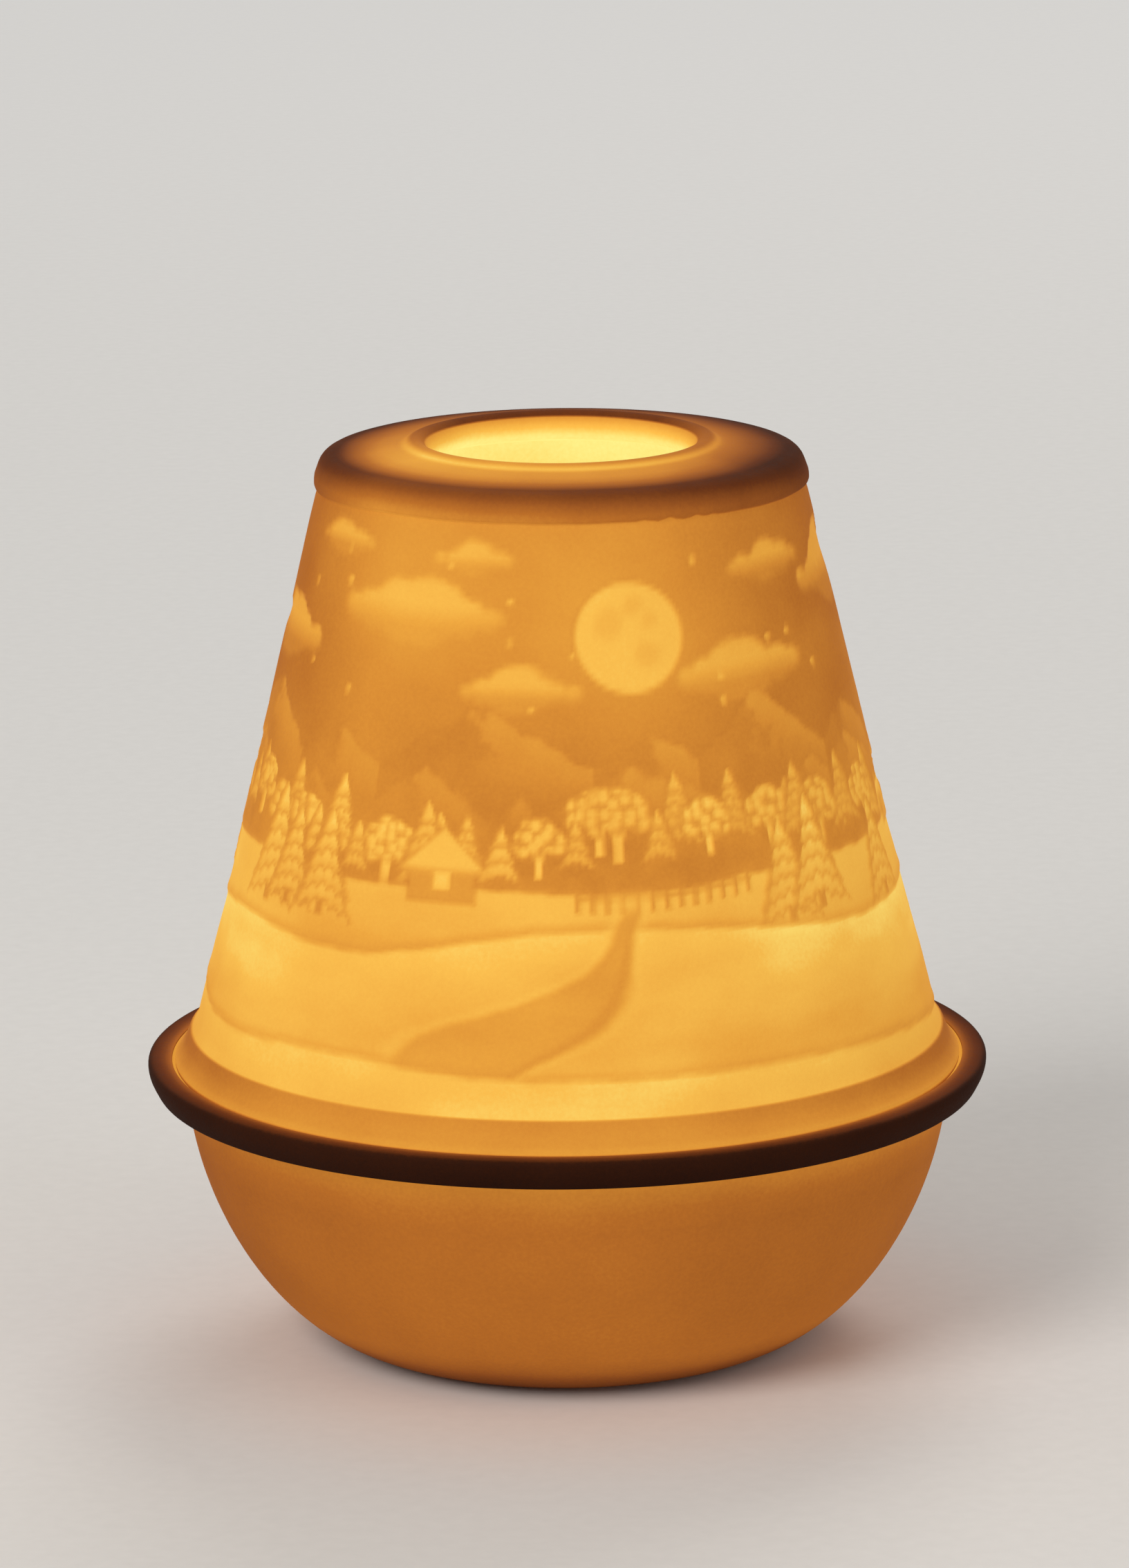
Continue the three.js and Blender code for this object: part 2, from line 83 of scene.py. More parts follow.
flange_radius = bowl_high.x
flange_top = bowl_high.z
shade_foot = shade_low.z
shade_foot_radius = shade_high.x
unit_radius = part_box("unit_shell")[1].x
print("flange", round(flange_radius / MM, 2), "mm wide from the axis, top at", round(flange_top / MM, 2))

# %% [markdown]
# ## Camera
#
# The lamp was photographed from about a metre away with a long lens, 13 degrees above level, and the
# camera was tilted by about half a degree. Matching the foot, the flange and the mouth of the shade, each
# an ellipse of its own shape, gives these numbers. The lens is worked out from its length in pixels on
# the frame's long side.

# %% Camera
photo_height_px = 2268
lens_px = 11390
camera_distance = 1.0
camera_height = 0.3066
camera_pitch = radians(13.1)
camera_roll = radians(-0.57)
sensor_width_mm = 36

camera_data = bpy.data.cameras.new("portrait_camera")
camera_data.sensor_width = sensor_width_mm
camera_data.lens = lens_px * sensor_width_mm / photo_height_px
camera_data.clip_start = 0.01
camera = bpy.data.objects.new("portrait_camera", camera_data)
bpy.context.scene.collection.objects.link(camera)
aim = Matrix.Rotation(pi / 2 - camera_pitch, 4, "X") @ Matrix.Rotation(camera_roll, 4, "Z")
camera.matrix_world = Matrix.Translation((0, -camera_distance, camera_height)) @ aim
bpy.context.scene.camera = camera
print("lens", round(camera_data.lens, 1), "mm")

# %% [markdown]
# ## Working with nodes
#
# A material in Blender is a tree of nodes: one makes a pattern, the next turns it into colours, and a
# shader turns those into a surface. Each node can be made and wired line by line, but then most of the
# script would be wiring. So a few small helpers make a node and set its inputs in one go, and an input
# takes either a value or the outlet of another node.


# %% Helpers for nodes
def set_inputs(tree, node, inputs):
    """Sets each named input to a value, or wires it to an outlet of another node."""
    for name, value in inputs.items():
        if isinstance(value, bpy.types.NodeSocket):
            tree.links.new(value, node.inputs[name])
        else:
            node.inputs[name].default_value = value


def add_node(tree, kind, inputs=None):
    node = tree.nodes.new(f"ShaderNode{kind}")
    set_inputs(tree, node, inputs or {})
    return node


def new_material(name):
    """A material whose Principled shader is its surface."""
    material = bpy.data.materials.new(name)
    material.use_nodes = True
    tree = material.node_tree
    tree.nodes.clear()
    shader = add_node(tree, "BsdfPrincipled")
    add_node(tree, "OutputMaterial", {"Surface": shader.outputs["BSDF"]})
    return material, tree, shader


def place_in(tree):
    """Where a point is on its own object, in metres."""
    return add_node(tree, "TexCoord").outputs["Object"]


def noise(tree, place, scale, detail=2.0, roughness=0.5):
    texture = add_node(tree, "TexNoise", {"Vector": place, "Scale": scale})
    set_inputs(tree, texture, {"Detail": detail, "Roughness": roughness})
    return texture.outputs["Fac"]


def combine(tree, operation, *values):
    """Values taken together one after another: ADD, MULTIPLY or MAXIMUM."""
    total = values[0]
    for value in values[1:]:
        step = add_node(tree, "Math", {0: total, 1: value})
        step.operation = operation
        total = step.outputs[0]
    return total


def moved(tree, value, low, high, start=0.3, end=0.7, curve="LINEAR"):
    """A value that runs from start to end, moved to run from low to high."""
    mover = add_node(tree, "MapRange", {"Value": value, "From Min": start, "From Max": end})
    set_inputs(tree, mover, {"To Min": low, "To Max": high})
    mover.interpolation_type = curve
    return mover.outputs[0]


def ramp(tree, value, stops):
    """The colour for a value, from stops of a value and its linear colour."""
    node = add_node(tree, "ValToRGB", {"Fac": value})
    while len(node.color_ramp.elements) < len(stops):
        node.color_ramp.elements.new(0.5)
    for element, (where, colour) in zip(node.color_ramp.elements, stops):
        element.position = where
        element.color = (*colour, 1)
    return node.outputs["Color"]


def bump(tree, height, depth):
    """A surface that leans as if height raised it by up to depth."""
    return add_node(tree, "Bump", {"Height": height, "Distance": depth, "Strength": 1.0}).outputs["Normal"]


def link_object(name, data):
    thing = bpy.data.objects.new(name, data)
    bpy.context.scene.collection.objects.link(thing)
    return thing


print("node helpers ready in Blender", bpy.app.version_string)

# %% [markdown]
# ## Floor, daylight and soft boxes
#
# A lit lamp is easiest to judge on a plain pale floor under weak, even studio light. The light must not
# drown the glow: most of what the eye reads as amber comes from inside the porcelain. The backdrop looks
# pale only to the camera and to reflections, through Light Path, and the far floor fades into it, so that
# there is no horizon and no more light than needed falls on the lamp.

# %% Floor and backdrop
bpy.context.scene.view_settings.view_transform = "Standard"
backdrop_colour = (1.0, 0.985, 0.96, 1)
backdrop_seen = 0.7
paper_tones = [(0, (0.80, 0.79, 0.77)), (1, (0.86, 0.85, 0.83))]
paper_grain = 400  # noise cells per metre
fade_start = 0.3
fade_end = 2.4
floor_half = 4.0


def paper_floor():
    material, tree, shader = new_material("studio_paper")
    place = place_in(tree)
    paper = ramp(tree, noise(tree, place, paper_grain, 4), paper_tones)
    set_inputs(tree, shader, {"Base Color": paper, "Roughness": 0.85})
    away = add_node(tree, "VectorMath", {0: place})
    away.operation = "LENGTH"
    fade = moved(tree, away.outputs["Value"], 0, 1, fade_start, fade_end, "SMOOTHSTEP")
    to_camera = add_node(tree, "LightPath").outputs["Is Camera Ray"]
    haze_share = combine(tree, "MULTIPLY", to_camera, fade)
    haze = add_node(tree, "Emission", {"Color": backdrop_colour, "Strength": backdrop_seen})
    both = add_node(tree, "MixShader", {0: haze_share, 1: shader.outputs["BSDF"]})
    set_inputs(tree, both, {2: haze.outputs["Emission"]})
    set_inputs(tree, tree.nodes["Material Output"], {"Surface": both.outputs["Shader"]})
    return material


floor_mesh = bpy.data.meshes.new("studio_floor")
floor_corners = [(x * floor_half, y * floor_half, 0) for x, y in ((-1, -1), (1, -1), (1, 1), (-1, 1))]
floor_mesh.from_pydata(floor_corners, [], [(0, 1, 2, 3)])
floor = link_object("studio_floor", floor_mesh)
floor.data.materials.append(paper_floor())
floor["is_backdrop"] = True
print("floor", 2 * floor_half, "m wide, all backdrop from", fade_end, "m on")

# %% [markdown]
# ### Daylight and lamps
#
# Real studios light a glowing thing with little daylight and large soft lamps, so that its own light
# tells. The world gives the daylight from all round. It could be one strength for all rays, but then a
# pale backdrop would light the lamp too much, so it is strong only for rays that see it directly. Three
# disc lamps model the porcelain: a key from the left, a weak fill from the right, and one behind that
# rims the flange.

# %% World and soft boxes
world_light = 0.34
soft_box_target = Vector((0, 0, 0.06))

world = bpy.data.worlds.new("studio_world")
world.use_nodes = True
bpy.context.scene.world = world
world_tree = world.node_tree
rays = add_node(world_tree, "LightPath").outputs
direct = [rays["Is Camera Ray"], rays["Is Glossy Ray"], rays["Is Transmission Ray"]]
seen_directly = combine(world_tree, "MAXIMUM", *direct)
world_strength = moved(world_tree, seen_directly, world_light, backdrop_seen, 0, 1)
background = world_tree.nodes["Background"]
set_inputs(world_tree, background, {"Color": backdrop_colour, "Strength": world_strength})


def soft_box(name, place, size, power, colour):
    light = bpy.data.lights.new(name, "AREA")
    light.shape = "DISK"
    light.size = size
    light.energy = power
    light.color = colour
    lamp = link_object(name, light)
    lamp.location = place
    lamp.rotation_euler = (soft_box_target - Vector(place)).to_track_quat("-Z", "Y").to_euler()


soft_box("key_soft_box", (-0.9, -1.3, 1.1), size=1.0, power=18, colour=(1.0, 0.97, 0.93))
soft_box("fill_soft_box", (1.4, -0.9, 0.8), size=1.2, power=4, colour=(1.0, 0.97, 0.94))
soft_box("back_soft_box", (0.3, 1.4, 1.3), size=1.0, power=8, colour=(1.0, 0.98, 0.96))

# %% [markdown]
# ## Turning a piece
#
# A lathe piece is a half outline swept round the axis. A screw modifier could sweep it, but the helper
# below takes rings instead of an outline: each ring has its own number of columns, its own radius at each
# column and its own glow. So one mesh can be fine where it carries a carved picture and coarse where it
# is plain, and still stay one closed skin.


# %% Skin over rings
def column_angles(count):
    return np.arange(count) * 2 * pi / count


def ring_of(radius, height, glow, count):
    """A plain level ring; its glow is one number or one for each column."""
    return column_angles(count), np.full(count, radius), np.full(count, height), np.zeros(count) + glow


def band(low, low_count, high, high_count):
    """Faces between two rings, where one may have a whole number of columns to each column of the other."""
    if low_count > high_count:
        return [tuple(reversed(face)) for face in band(high, high_count, low, low_count)]
    step = high_count // low_count
    faces = []
    for i in range(low_count):
        fine = [high + (i * step + k) % high_count for k in range(step + 1)]
        if low_count == 1:
            faces.extend((low, fine[k + 1], fine[k]) for k in range(step))
        else:
            faces.append((low + i, low + (i + 1) % low_count, *reversed(fine)))
    return faces


def smooth_mesh(name, points, faces):
    mesh = bpy.data.meshes.new(name)
    mesh.from_pydata(points, [], faces)
    mesh.polygons.foreach_set("use_smooth", np.ones(len(faces), bool))
    return mesh


def skin(name, rings, closed=False):
    """A mesh over rings of (angles, radii, heights, glow); a ring of one point closes an end."""
    points = []
    glow = []
    starts = []
    for angles, radii, heights, light in rings:
        starts.append(len(points))
        ring = np.stack([radii * np.cos(angles), radii * np.sin(angles), heights], axis=-1)
        points.extend(map(tuple, ring))
        glow.extend(light)
    pairs = list(zip(range(len(rings) - 1), range(1, len(rings))))
    if closed:
        pairs.append((len(rings) - 1, 0))
    faces = []
    for first, second in pairs:
        faces.extend(band(starts[first], len(rings[first][0]), starts[second], len(rings[second][0])))
    mesh = smooth_mesh(name, points, faces)
    mesh.attributes.new("glow", "FLOAT", "POINT").data.foreach_set("value", np.array(glow, np.float32))
    mesh.validate()
    print(name, len(points), "points,", len(faces), "faces")
    return link_object(name, mesh)


print("two faces of a band from 2 to 4 columns:", band(0, 2, 2, 4))

# %% [markdown]
# ## Soft corners
#
# Clay has no knife edges. An outline is written with its corners, each with the radius of its rounding,
# and the helper swaps each corner for a short curve. A bevel modifier could round the mesh afterwards,
# but here each corner keeps its own radius. Long runs are cut into short ones so that the glow can change
# along them.

# %% Rounded outline
same_point = 1e-7  # metres; nearer points are one


def bend(start, pull, end, share):
    """The point at a share of the curve from start to end that is pulled towards a third point."""
    return start * (1 - share) ** 2 + pull * 2 * share * (1 - share) + end * share**2


def soften(corners, longest, arc_steps=6):
    """Points along corners of (radius, height, rounding), none further apart than longest."""
    bent = []
    for i, (radius, height, rounding) in enumerate(corners):
        here = Vector((radius, height))
        if not rounding:
            bent.append(here)
            continue
        before = Vector(corners[i - 1][:2]) - here
        after = Vector(corners[(i + 1) % len(corners)][:2]) - here
        start = here + before.normalized() * min(rounding, before.length / 2)
        end = here + after.normalized() * min(rounding, after.length / 2)
        bent.extend(bend(start, here, end, k / arc_steps) for k in range(arc_steps + 1))
    points = [bent[0]]
    for nearby in bent[1:]:
        gap = (nearby - points[-1]).length
        if gap < same_point:
            continue
        parts = max(1, int(np.ceil(gap / longest)))
        last = points[-1].copy()
        points.extend(last.lerp(nearby, k / parts) for k in range(1, parts + 1))
    return points


def unlit(radius, height):
    return 0.0


def turn(name, corners, longest, count, glow=unlit, arc_steps=6, closed=True):
    """A turned piece from its corners; it closes back to the first one, or starts and ends on the axis."""
    outline = corners + [corners[0]] if closed else corners
    points = soften(outline, longest, arc_steps)
    if closed:
        points.pop()
    rings = []
    for point in points:
        columns = 1 if point.x < same_point else count
        rings.append(ring_of(point.x, point.y, glow(point.x, point.y), columns))
    return skin(name, rings, closed)


print("one rounded corner takes", len(soften([(0, 0, 0), (1, 0, 0.2), (1, 1, 0)], 9)) - 2, "points")

# %% [markdown]
# ## Lit porcelain
#
# Unglazed porcelain is matt and slightly grainy, and lets warm light through where it is thin. Blender
# could let real light scatter through the wall, but that is slow and noisy, and the light would be lost
# in an export. So each point of the mesh carries a number, glow, from 0 where the clay is thick and dark
# to 1 where the bare lamp shows. Two colour ramps turn it into the light that the wall gives off and the
# colour that it shows by daylight. Their colours run from umber through amber to pale yellow, as they do
# in any candle-lit porcelain.

# %% Colours of lit porcelain
lit_porcelain = [
    (0.00, "#1e0c06"),
    (0.10, "#381a0c"),
    (0.22, "#6f3819"),
    (0.36, "#9e5823"),
    (0.48, "#bd7029"),
    (0.60, "#de9136"),
    (0.72, "#f1aa41"),
    (0.84, "#fec251"),
    (0.93, "#ffde70"),
    (1.00, "#fff28a"),
]
lit_share_at = [0.12, 0.5, 0.87, 0.95]
lit_shares = [0.0, 0.6, 0.64, 1.0]  # of the colour: none where it is dark, all of it inside the shade
cloud_scale = 70  # noise cells per metre: broad clouds, grains of clay and the pits between them
grain_scale = 1900
pit_scale = 2600
pit_depth = 0.06 * MM


def linear(code):
    """Linear colour of a code such as #a0b1c2."""
    values = [int(code[i : i + 2], 16) / 255 for i in (1, 3, 5)]
    return [v / 12.92 if v <= 0.04045 else ((v + 0.055) / 1.055) ** 2.4 for v in values]


def glowing(name, colours, shares, clouding, grain):
    """A matt wall lit from inside by its glow attribute; clouding and grain are how much it varies."""
    material, tree, shader = new_material(name)
    place = place_in(tree)
    glow = add_node(tree, "Attribute")
    glow.attribute_name = "glow"
    clouded = moved(tree, noise(tree, place, cloud_scale, 3), -clouding, clouding)
    grains = moved(tree, noise(tree, place, grain_scale, 2), -grain, grain)
    light = combine(tree, "ADD", glow.outputs["Fac"], clouded, grains)
    stops = [(tone, linear(code), np.interp(tone, lit_share_at, shares)) for tone, code in colours]
    by_day = ramp(tree, light, [(tone, [c * (1 - share) for c in colour]) for tone, colour, share in stops])
    by_lamp = ramp(tree, light, [(tone, [c * share for c in colour]) for tone, colour, share in stops])
    roughness = moved(tree, grains, 0.78, 0.92, -grain, grain)
    pits = bump(tree, noise(tree, place, pit_scale, 3, 0.6), pit_depth)
    set_inputs(tree, shader, {"Base Color": by_day, "Emission Color": by_lamp, "Emission Strength": 1.0})
    set_inputs(tree, shader, {"Roughness": roughness, "Specular IOR Level": 0.05, "Normal": pits})
    return material


shade_porcelain = glowing("shade_porcelain_lit", lit_porcelain, lit_shares, 0.022, 0.010)
bowl_porcelain = glowing("bowl_porcelain_lit", lit_porcelain, lit_shares, 0.014, 0.012)
print("porcelain ramps have", len(lit_porcelain), "stops")

# %% [markdown]
# ## Dressing a piece
#
# Every piece takes a finish, rides on the body that carries it, and stands for a solid of the packed
# model. One helper gives the finish, because a piece may be joined from parts of several finishes, and
# another says the rest. Edges sharper than a given angle stay crisp while the rest is shaded smoothly.

# %% Dressing a piece
crisp_degrees = 38


def coat(part, material):
    """Gives a piece, or a part that will be joined to one, its finish."""
    part.data.materials.append(material)
    return part


def dress(piece, slot, body, *nodes):
    """Says what carries a piece and which solids it stands for; its slot is not used."""
    piece.data.set_sharp_from_angle(angle=radians(crisp_degrees))
    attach(piece, body)
    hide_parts(*nodes)


print("edges stay crisp from", crisp_degrees, "degrees")

# %% [markdown]
# ## The bowl
#
# The bowl is thrown or cast in one piece: a foot ring, a wall that swells out fast and then rises almost
# upright, and a flat flange with a rebate for the shade. Only the wall lets light through. The flange is
# too thick and too far from the lamp, so its edge stays dark, and its top catches a little light next to
# the shade. A turned outline gives all of it, and the glow is written down along the outline as a maker
# would see it.

# %% Outline of the bowl
foot_radius = 25 * MM
foot_ring_width = 5.5 * MM
foot_recess = 1.1 * MM
shoulder_radius = 49.9 * MM
flange_underside = flange_top - 3.9 * MM
flange_lean = 1.2 * MM
flange_upright = 1.6 * MM
rebate_radius = shade_foot_radius + 0.4 * MM
ledge_height = flange_top - 1.9 * MM
mouth_inside = 46.1 * MM
floor_height = 4.8 * MM
floor_inside = 29.5 * MM
unit_recess_radius = unit_radius + 0.6 * MM
unit_recess_depth = 0.6 * MM
swell_shares = (1.67, 1.85)  # how full the wall's curve is at its shoulder and at its foot


def swelling(share):
    """How far out the wall has come, at a share of its rise."""
    return (1 - (1 - share) ** swell_shares[0]) ** (1 / swell_shares[1])


def swelling_wall(foot, shoulder, steps):
    """Corners along the wall between foot and shoulder, close together where it turns fast."""
    corners = []
    for i in range(1, steps):
        share = 1 - cos(pi / 2 * i / steps)
        radius = foot[0] + (shoulder[0] - foot[0]) * swelling(share)
        corners.append((radius, foot[1] + (shoulder[1] - foot[1]) * share, 0))
    return corners


def bowl_corners():
    foot = (foot_radius, 0)
    shoulder = (shoulder_radius, flange_underside)
    inner_foot = (floor_inside, floor_height)
    inner_shoulder = (mouth_inside, ledge_height)
    return [
        (0, foot_recess, 0),
        (foot_radius - foot_ring_width, foot_recess, 0.5 * MM),
        (foot_radius - foot_ring_width, 0, 0.5 * MM),
        (*foot, 0.5 * MM),
        *swelling_wall(foot, shoulder, 48),
        (*shoulder, 0.25 * MM),
        (flange_radius - flange_lean, flange_underside, 0.5 * MM),
        (flange_radius, flange_top - flange_upright, 1.0 * MM),
        (flange_radius, flange_top, 0.7 * MM),
        (rebate_radius, flange_top, 0.25 * MM),
        (rebate_radius, ledge_height, 0.2 * MM),
        (*inner_shoulder, 0.5 * MM),
        *reversed(swelling_wall(inner_foot, inner_shoulder, 36)),
        (*inner_foot, 0.8 * MM),
        (unit_recess_radius, floor_height, 0.3 * MM),
        (unit_recess_radius, floor_height - unit_recess_depth, 0.2 * MM),
        (0, floor_height - unit_recess_depth, 0),
    ]


print("the bowl's outline has", len(bowl_corners()), "corners")

# %% [markdown]
# ### How the bowl glows
#
# The lamp lights the bowl from within, so its inside is nearly as bright as the bare light. On the
# outside the foot is dark, where the clay is thick, and the wall gets brighter fast above it and once
# more under the flange. Painted shade makes the sides a little duller than the front. Tones at a few
# heights say so, and the helper picks the list by where the point is: inside, on the flange or on
# the wall.

# %% Glow of the bowl
bowl_columns = 192
bowl_deg = np.degrees(column_angles(bowl_columns) + pi / 2)  # from the front of the lamp
# The wall's glow by angle from the front is painted shade: duller at the sides, a touch brighter in front.
bowl_shade_deg = [-130, -75, -55, -25, 0, 25, 60, 110, 160]
bowl_painted_side_shade = [-0.03, -0.08, -0.035, 0.01, 0.01, -0.01, -0.03, -0.04, 0.0]
above_foot = [5, 12]  # in millimetres, as all heights and radii of a glow
inside_heights = [4, 12, 30, 36.3]
inside_tones = [0.93, 0.95, 0.86, 0.74]
wall_heights = [0, 1.2, 2, 3, 4, 5, 7, 12, 24, 27, 30, 32, 33.8]
wall_tones = [0.18, 0.25, 0.275, 0.315, 0.375, 0.42, 0.46, 0.465, 0.465, 0.46, 0.49, 0.54, 0.58]
flange_top_radii = [51.9, 52.5, 53.1, 53.7, 54.3, 54.8]
flange_top_tones = [0.44, 0.31, 0.235, 0.20, 0.16, 0.10]
flange_side_heights = [34.3, 34.6, 36.5, 37.7, 38.1]
flange_side_tones = [0.0, 0.05, 0.07, 0.075, 0.10]
flange_top_depth = 0.12 * MM
flange_start = shoulder_radius + 0.3 * MM
wall_reach = 1.2 * MM  # how near to the outer curve a point of the wall is


def on_outer_wall(radius, height):
    share = min(max(height / flange_underside, 0), 1)
    wall = foot_radius + (shoulder_radius - foot_radius) * swelling(share)
    return abs(radius - wall) < wall_reach and height <= flange_underside + 0.1 * MM


def bowl_glow(radius, height):
    if radius < rebate_radius and height > floor_height - MM and not on_outer_wall(radius, height):
        return np.interp(height / MM, inside_heights, inside_tones)
    if radius > flange_start and height > flange_top - flange_top_depth:
        return np.interp(radius / MM, flange_top_radii, flange_top_tones)
    if radius > flange_start:
        return np.interp(height / MM, flange_side_heights, flange_side_tones)
    tone = np.interp(height / MM, wall_heights, wall_tones)
    side_shade_share = np.interp(height / MM, above_foot, [0, 1])
    if side_shade_share == 0:
        return tone
    return tone + side_shade_share * np.interp(bowl_deg, bowl_shade_deg, bowl_painted_side_shade, period=360)


bowl = turn("porcelain_bowl", bowl_corners(), 0.9 * MM, bowl_columns, bowl_glow, closed=False)
dress(coat(bowl, bowl_porcelain), "bowl_porcelain", "bowl", "bowl")

# %% [markdown]
# ## The picture
#
# A lithophane is carved in wax first: deep where the picture should be bright, because thin porcelain
# lets more light through. Here the picture is a winter night that runs all round: a moon and clouds over
# mountains, a line of snowy trees, and white hills in front. Every motif is a soft mask on the unrolled
# wall, painted from the back to the front, and the same tone then drives both the carving and the glow. A
# fixed seed gives the same trees each time, and the layout repeats nowhere round the shade.

# %% The unrolled wall
picture_columns = 576
picture_rows = 136
picture_low = shade_foot + 4.6 * MM
picture_high = shade_foot + 76.75 * MM
picture_low_radius = 49.05 * MM
picture_high_radius = 31.45 * MM
wall_hollow = 0.3 * MM
row_shares = ([0, 0.24, 0.74, 1], [0, 0.26, 0.68, 1])  # of the rows, of the rise: finer rows at the trees


def wrapped(degrees):
    """The same direction as a number from -180 to 180."""
    return (degrees + 180) % 360 - 180


picture_angles = column_angles(picture_columns)
wall_rise = np.interp(np.linspace(0, 1, picture_rows), *row_shares)
straight_radius = picture_low_radius + (picture_high_radius - picture_low_radius) * wall_rise
wall_radius = straight_radius - wall_hollow * np.sin(pi * wall_rise)
wall_height = picture_low + (picture_high - picture_low) * wall_rise
slant = np.hypot(picture_high - picture_low, picture_high_radius - picture_low_radius)

# Distances on the wall in millimetres: round is degrees from the front, up is along the slant.
round_deg = wrapped(np.degrees(picture_angles) + 90)
round_share = (round_deg[None, :] + 180) / 360
up = np.broadcast_to((wall_rise * slant / MM)[:, None], (picture_rows, picture_columns))
around_radius = np.broadcast_to((wall_radius / MM)[:, None], up.shape)


def soft(distance, edge=0.45):
    """1 where distance is well above zero, 0 where it is well below, with a soft edge in millimetres."""
    t = np.clip(distance / edge / 2 + 0.5, 0, 1)
    return t * t * (3 - 2 * t)


def across(degrees):
    """Millimetres to the right of a place round the wall."""
    return np.radians(wrapped(round_deg[None, :] - degrees)) * around_radius


def paint(picture, mask, tone):
    return picture * (1 - mask) + tone * mask


print("wall", round(slant / MM, 1), "mm up the slant, finest rows", round(np.diff(up[:, 0]).min(), 2), "mm")

# %% [markdown]
# ### Irregular edges
#
# A hand leaves nothing perfectly even. Patches of smooth noise, drawn on a grid that closes on itself
# round the wall, make the snow uneven and the outlines of clouds and trees ragged. Leaves need another
# pattern: every point's distance to the nearest of many scattered seeds gives round dots with dark gaps
# between them.

# %% Noise on the wall
mean_radius_mm = 40
octave_reach = 1.6  # about how far from zero the octaves reach once they are added


def patches(rng, cell_mm, stretch=1.0):
    """Smooth random values between -1 and 1, about one cell across."""
    columns = int(round(2 * pi * mean_radius_mm / (cell_mm * stretch)))
    grid = rng.uniform(-1, 1, (int(up.max() / cell_mm) + 2, columns))
    x = round_share * columns
    y = up / cell_mm
    i = np.floor(x).astype(int)
    j = np.floor(y).astype(int)
    right = soft(x - i - 0.5, 0.5)
    above = soft(y - j - 0.5, 0.5)
    low = grid[j, i % columns] * (1 - right) + grid[j, (i + 1) % columns] * right
    high = grid[j + 1, i % columns] * (1 - right) + grid[j + 1, (i + 1) % columns] * right
    return low * (1 - above) + high * above


def mottle(rng, cell_mm, stretch=1.0, octaves=4):
    """Patches with finer and weaker patches on them, still from about -1 to 1."""
    return sum(patches(rng, cell_mm / 2**k, stretch) / 2**k for k in range(octaves)) / octave_reach


def leaf_dots(rng, columns=170, height_mm=1.5, dot_mm=0.72):
    """1 in the middle of each dot and 0 in the gaps."""
    rows = int(up.max() / height_mm) + 4
    seeds = rng.uniform(0.15, 0.85, (rows, columns, 2))
    x = round_share * columns
    y = up / height_mm
    nearest = np.full(up.shape, 9.0)
    for step_x in (-1, 0, 1):
        for step_y in (-1, 0, 1):
            i = np.floor(x).astype(int) + step_x
            j = np.floor(y).astype(int) + step_y
            seed = seeds[j % rows, i % columns]
            gap_x = (i + seed[..., 0] - x) / columns * 2 * pi * around_radius
            gap_y = (j + seed[..., 1] - y) * height_mm
            nearest = np.minimum(nearest, np.hypot(gap_x, gap_y))
    return soft(dot_mm - nearest, 0.4)


picture_rng = np.random.default_rng(20)
rough = mottle(picture_rng, cell_mm=2.4, octaves=3)
snow = mottle(picture_rng, cell_mm=9, stretch=2.2)
wisps = mottle(picture_rng, cell_mm=7, stretch=3.0, octaves=5)
leaves = leaf_dots(picture_rng)
print("snow varies from", round(float(snow.min()), 2), "to", round(float(snow.max()), 2))

# %% [markdown]
# ### Motifs of the sky
#
# Each motif returns the picture with itself painted on. Tones are shares of the full glow. The moon is a
# disc in a halo, with a few darker seas. A cloud could be drawn by hand, but a row of overlapping puffs
# of random size looks as natural and can be moved about; its underside fades, as if the moon lit it from
# above.

# %% Moon and clouds
star_tone = 0.80
moon_tone = 0.835
moon_rim_tone = 0.62
moon_halo = 0.06
sea_tone = 0.785
moon_seas = [(-2.6, 1.8, 0.30), (2.4, -2.2, 0.24), (0.5, 3.8, 0.18), (2.7, 2.0, 0.13)]  # right, up, size
puffs = 9


def star(picture, degrees, height, radius):
    distance = radius - np.hypot(across(degrees), up - height)
    return paint(picture, soft(distance, 0.35), star_tone)


def moon(picture, degrees, height, radius):
    away = np.hypot(across(degrees), up - height)
    picture = picture + moon_halo * np.exp(-((away / (1.7 * radius)) ** 2))
    picture = paint(picture, soft(radius + 0.5 - away) * 0.7, moon_rim_tone)
    picture = paint(picture, soft(radius - away), moon_tone)
    for right, above, share in moon_seas:
        sea = share * radius - np.hypot(across(degrees) - right, up - height - above) + rough * 0.7
        picture = paint(picture, soft(sea, 0.8) * soft(radius - away), sea_tone)
    return picture


def cloud(picture, rng, degrees, height, length, tone):
    """A long cloud of overlapping puffs with a flat, fading underside."""
    x = across(degrees)
    y = up - height
    shape = np.full(up.shape, -10.0)
    for share in np.linspace(-1, 1, puffs):
        reach = length * (0.19 - 0.12 * abs(share)) * rng.uniform(0.75, 1.2)
        middle = share * (length / 2 - reach)
        shape = np.maximum(shape, reach - np.hypot((x - middle) * 0.8, y - reach * 0.2))
    shape = shape + rough * 0.5
    fade = np.clip(y / (length * 0.13) + 0.35, 0, 1)
    return paint(picture, soft(shape, 0.7) * (0.25 + 0.75 * fade), tone + 0.015 * wisps)


print("the moon has", len(moon_seas), "seas and a cloud", puffs, "puffs")

# %% [markdown]
# ### Motifs of the land
#
# A ridge is the highest of many peaks at each place round the wall, and each peak has a snowy side and a
# dark side, which gives it form without any drawing. Its foot sinks into mist, so that the trees in front
# stand clear. A hill is all snow below a wavy crest line that closes on itself behind the lamp. A dark
# seam lies above the crest, because a carver leaves a thicker line between two shapes.

# %% Mountains and hills
snowy_side = 0.085
mist_height = 37
mist_depth = 12


